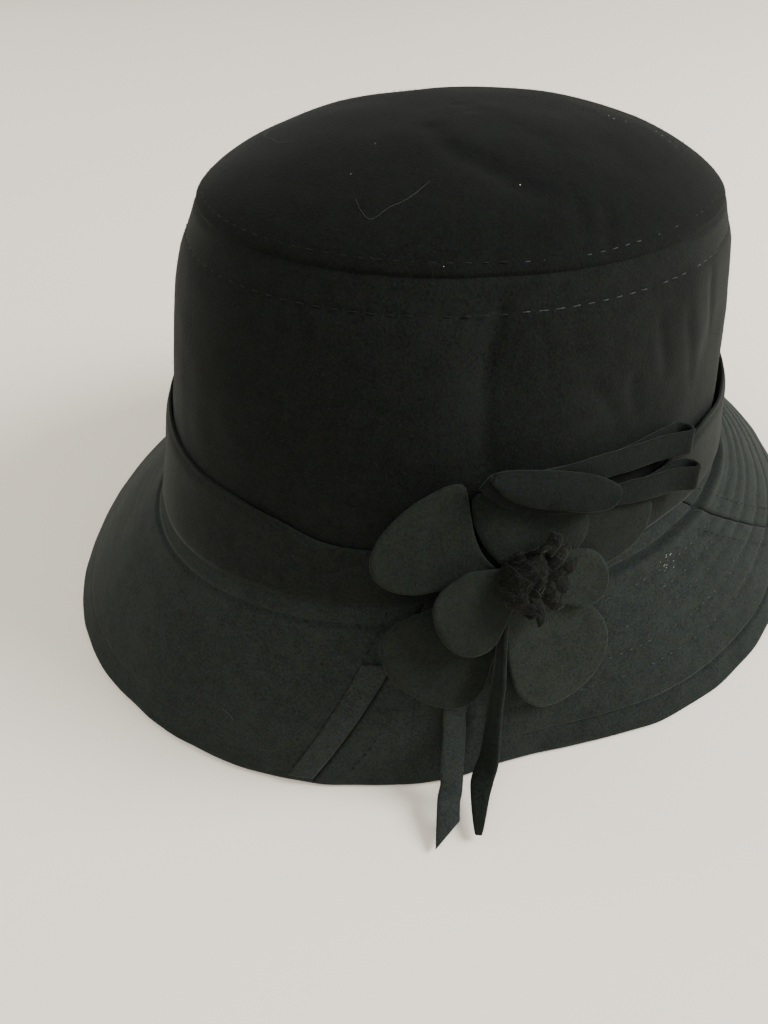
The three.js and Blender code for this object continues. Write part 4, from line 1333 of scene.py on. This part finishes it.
def area_light(name, place, target, size, power, tint):
    light = bpy.data.lights.new(name, "AREA")
    light.shape = "DISK"
    light.size = size
    light.energy = power
    light.color = tint
    lamp = bpy.data.objects.new(name, light)
    bpy.context.scene.collection.objects.link(lamp)
    aim(lamp, np.array(place, float), unit(np.array(target, float) - np.array(place, float)), (0, 0, 1))


def aim(thing, place, forward, top):
    """Points a camera or lamp along forward."""
    right = unit(np.cross(forward, np.array(top, float)))
    up = np.cross(right, forward)
    matrix = thing.matrix_world.copy()
    for k in range(3):
        matrix[k][0] = right[k]
        matrix[k][1] = up[k]
        matrix[k][2] = -forward[k]
        matrix[k][3] = place[k]
    thing.matrix_world = matrix


def make_camera():
    lens = bpy.data.cameras.new("camera")
    lens.sensor_width = 36.0
    lens.lens = 28.125
    lens.clip_start = 0.01
    camera = bpy.data.objects.new("camera", lens)
    bpy.context.scene.collection.objects.link(camera)
    place = (np.array([138.2, -188.8, 211.8]) + CENTRE) * MM
    aim(camera, place, np.array([-0.497, 0.544, -0.676]), (-0.385, 0.559, 0.734))
    bpy.context.scene.camera = camera


def make_light():
    world = bpy.data.worlds.new("room")
    world.use_nodes = True
    backdrop = world.node_tree.nodes["Background"]
    backdrop.inputs["Color"].default_value = colour(1.0, 0.965, 0.915)
    backdrop.inputs["Strength"].default_value = 0.75
    bpy.context.scene.world = world
    area_light("window", (1.0, 0.7, 0.95), (0, 0, 0.05), 0.7, 38.0, (0.98, 0.98, 1.0))
    area_light("far_room", (-1.3, -0.2, 0.7), (0, 0, 0.08), 0.9, 7.0, (1.0, 0.97, 0.93))
    area_light("room_light", (0.55, -0.85, 1.15), (0, 0, 0.03), 1.2, 8.0, (1.0, 0.98, 0.95))


make_camera()
wall = make_crown_side()
tip = make_crown_tip()
band = make_band()
brim_near = make_brim("brim_front_panel", "brim_front", SEAM_FRONT, SEAM_SIDE, 190)
brim_far = make_brim("brim_back_panel", "brim_back", SEAM_SIDE, (SEAM_FRONT[0] + 360, SEAM_FRONT[1] + 360), 350)
make_seam_strip()
loops = [make_loop(name) for name in LOOP_ROWS]
tails = [make_tail(name) for name in TAIL_ROWS]
petals = [make_folded_petal()]
for number, name in enumerate(PETAL_ROWS):
    # Petals 4 and 5 take the lighter copy of the petal felt: painted light.
    tone = petal_painted_light_felt if name in ("petal_4", "petal_5") else petal_felt
    petals.append(dress(make_petal(name, 100 + number), tone, "petal_felt", name))
fringe = make_fringe()
make_stitches()
make_nap("crown_nap", [wall, tip, band], [16000, 15000, 5000], 1.2, "crown_felt", nap_fibre)
make_nap("brim_nap", [brim_near, brim_far], [5000, 15000], 1.2, "brim_felt", nap_fibre, seed=120)
make_nap("flower_nap", petals + loops + tails, [1300] * len(petals + loops + tails), 0.9, "petal_felt",
         nap_fibre, seed=140)
make_nap("fringe_nap", [fringe], [9000], 1.7, "fringe_felt", fringe_fibre, seed=170)
make_hairs()
make_table()
make_light()
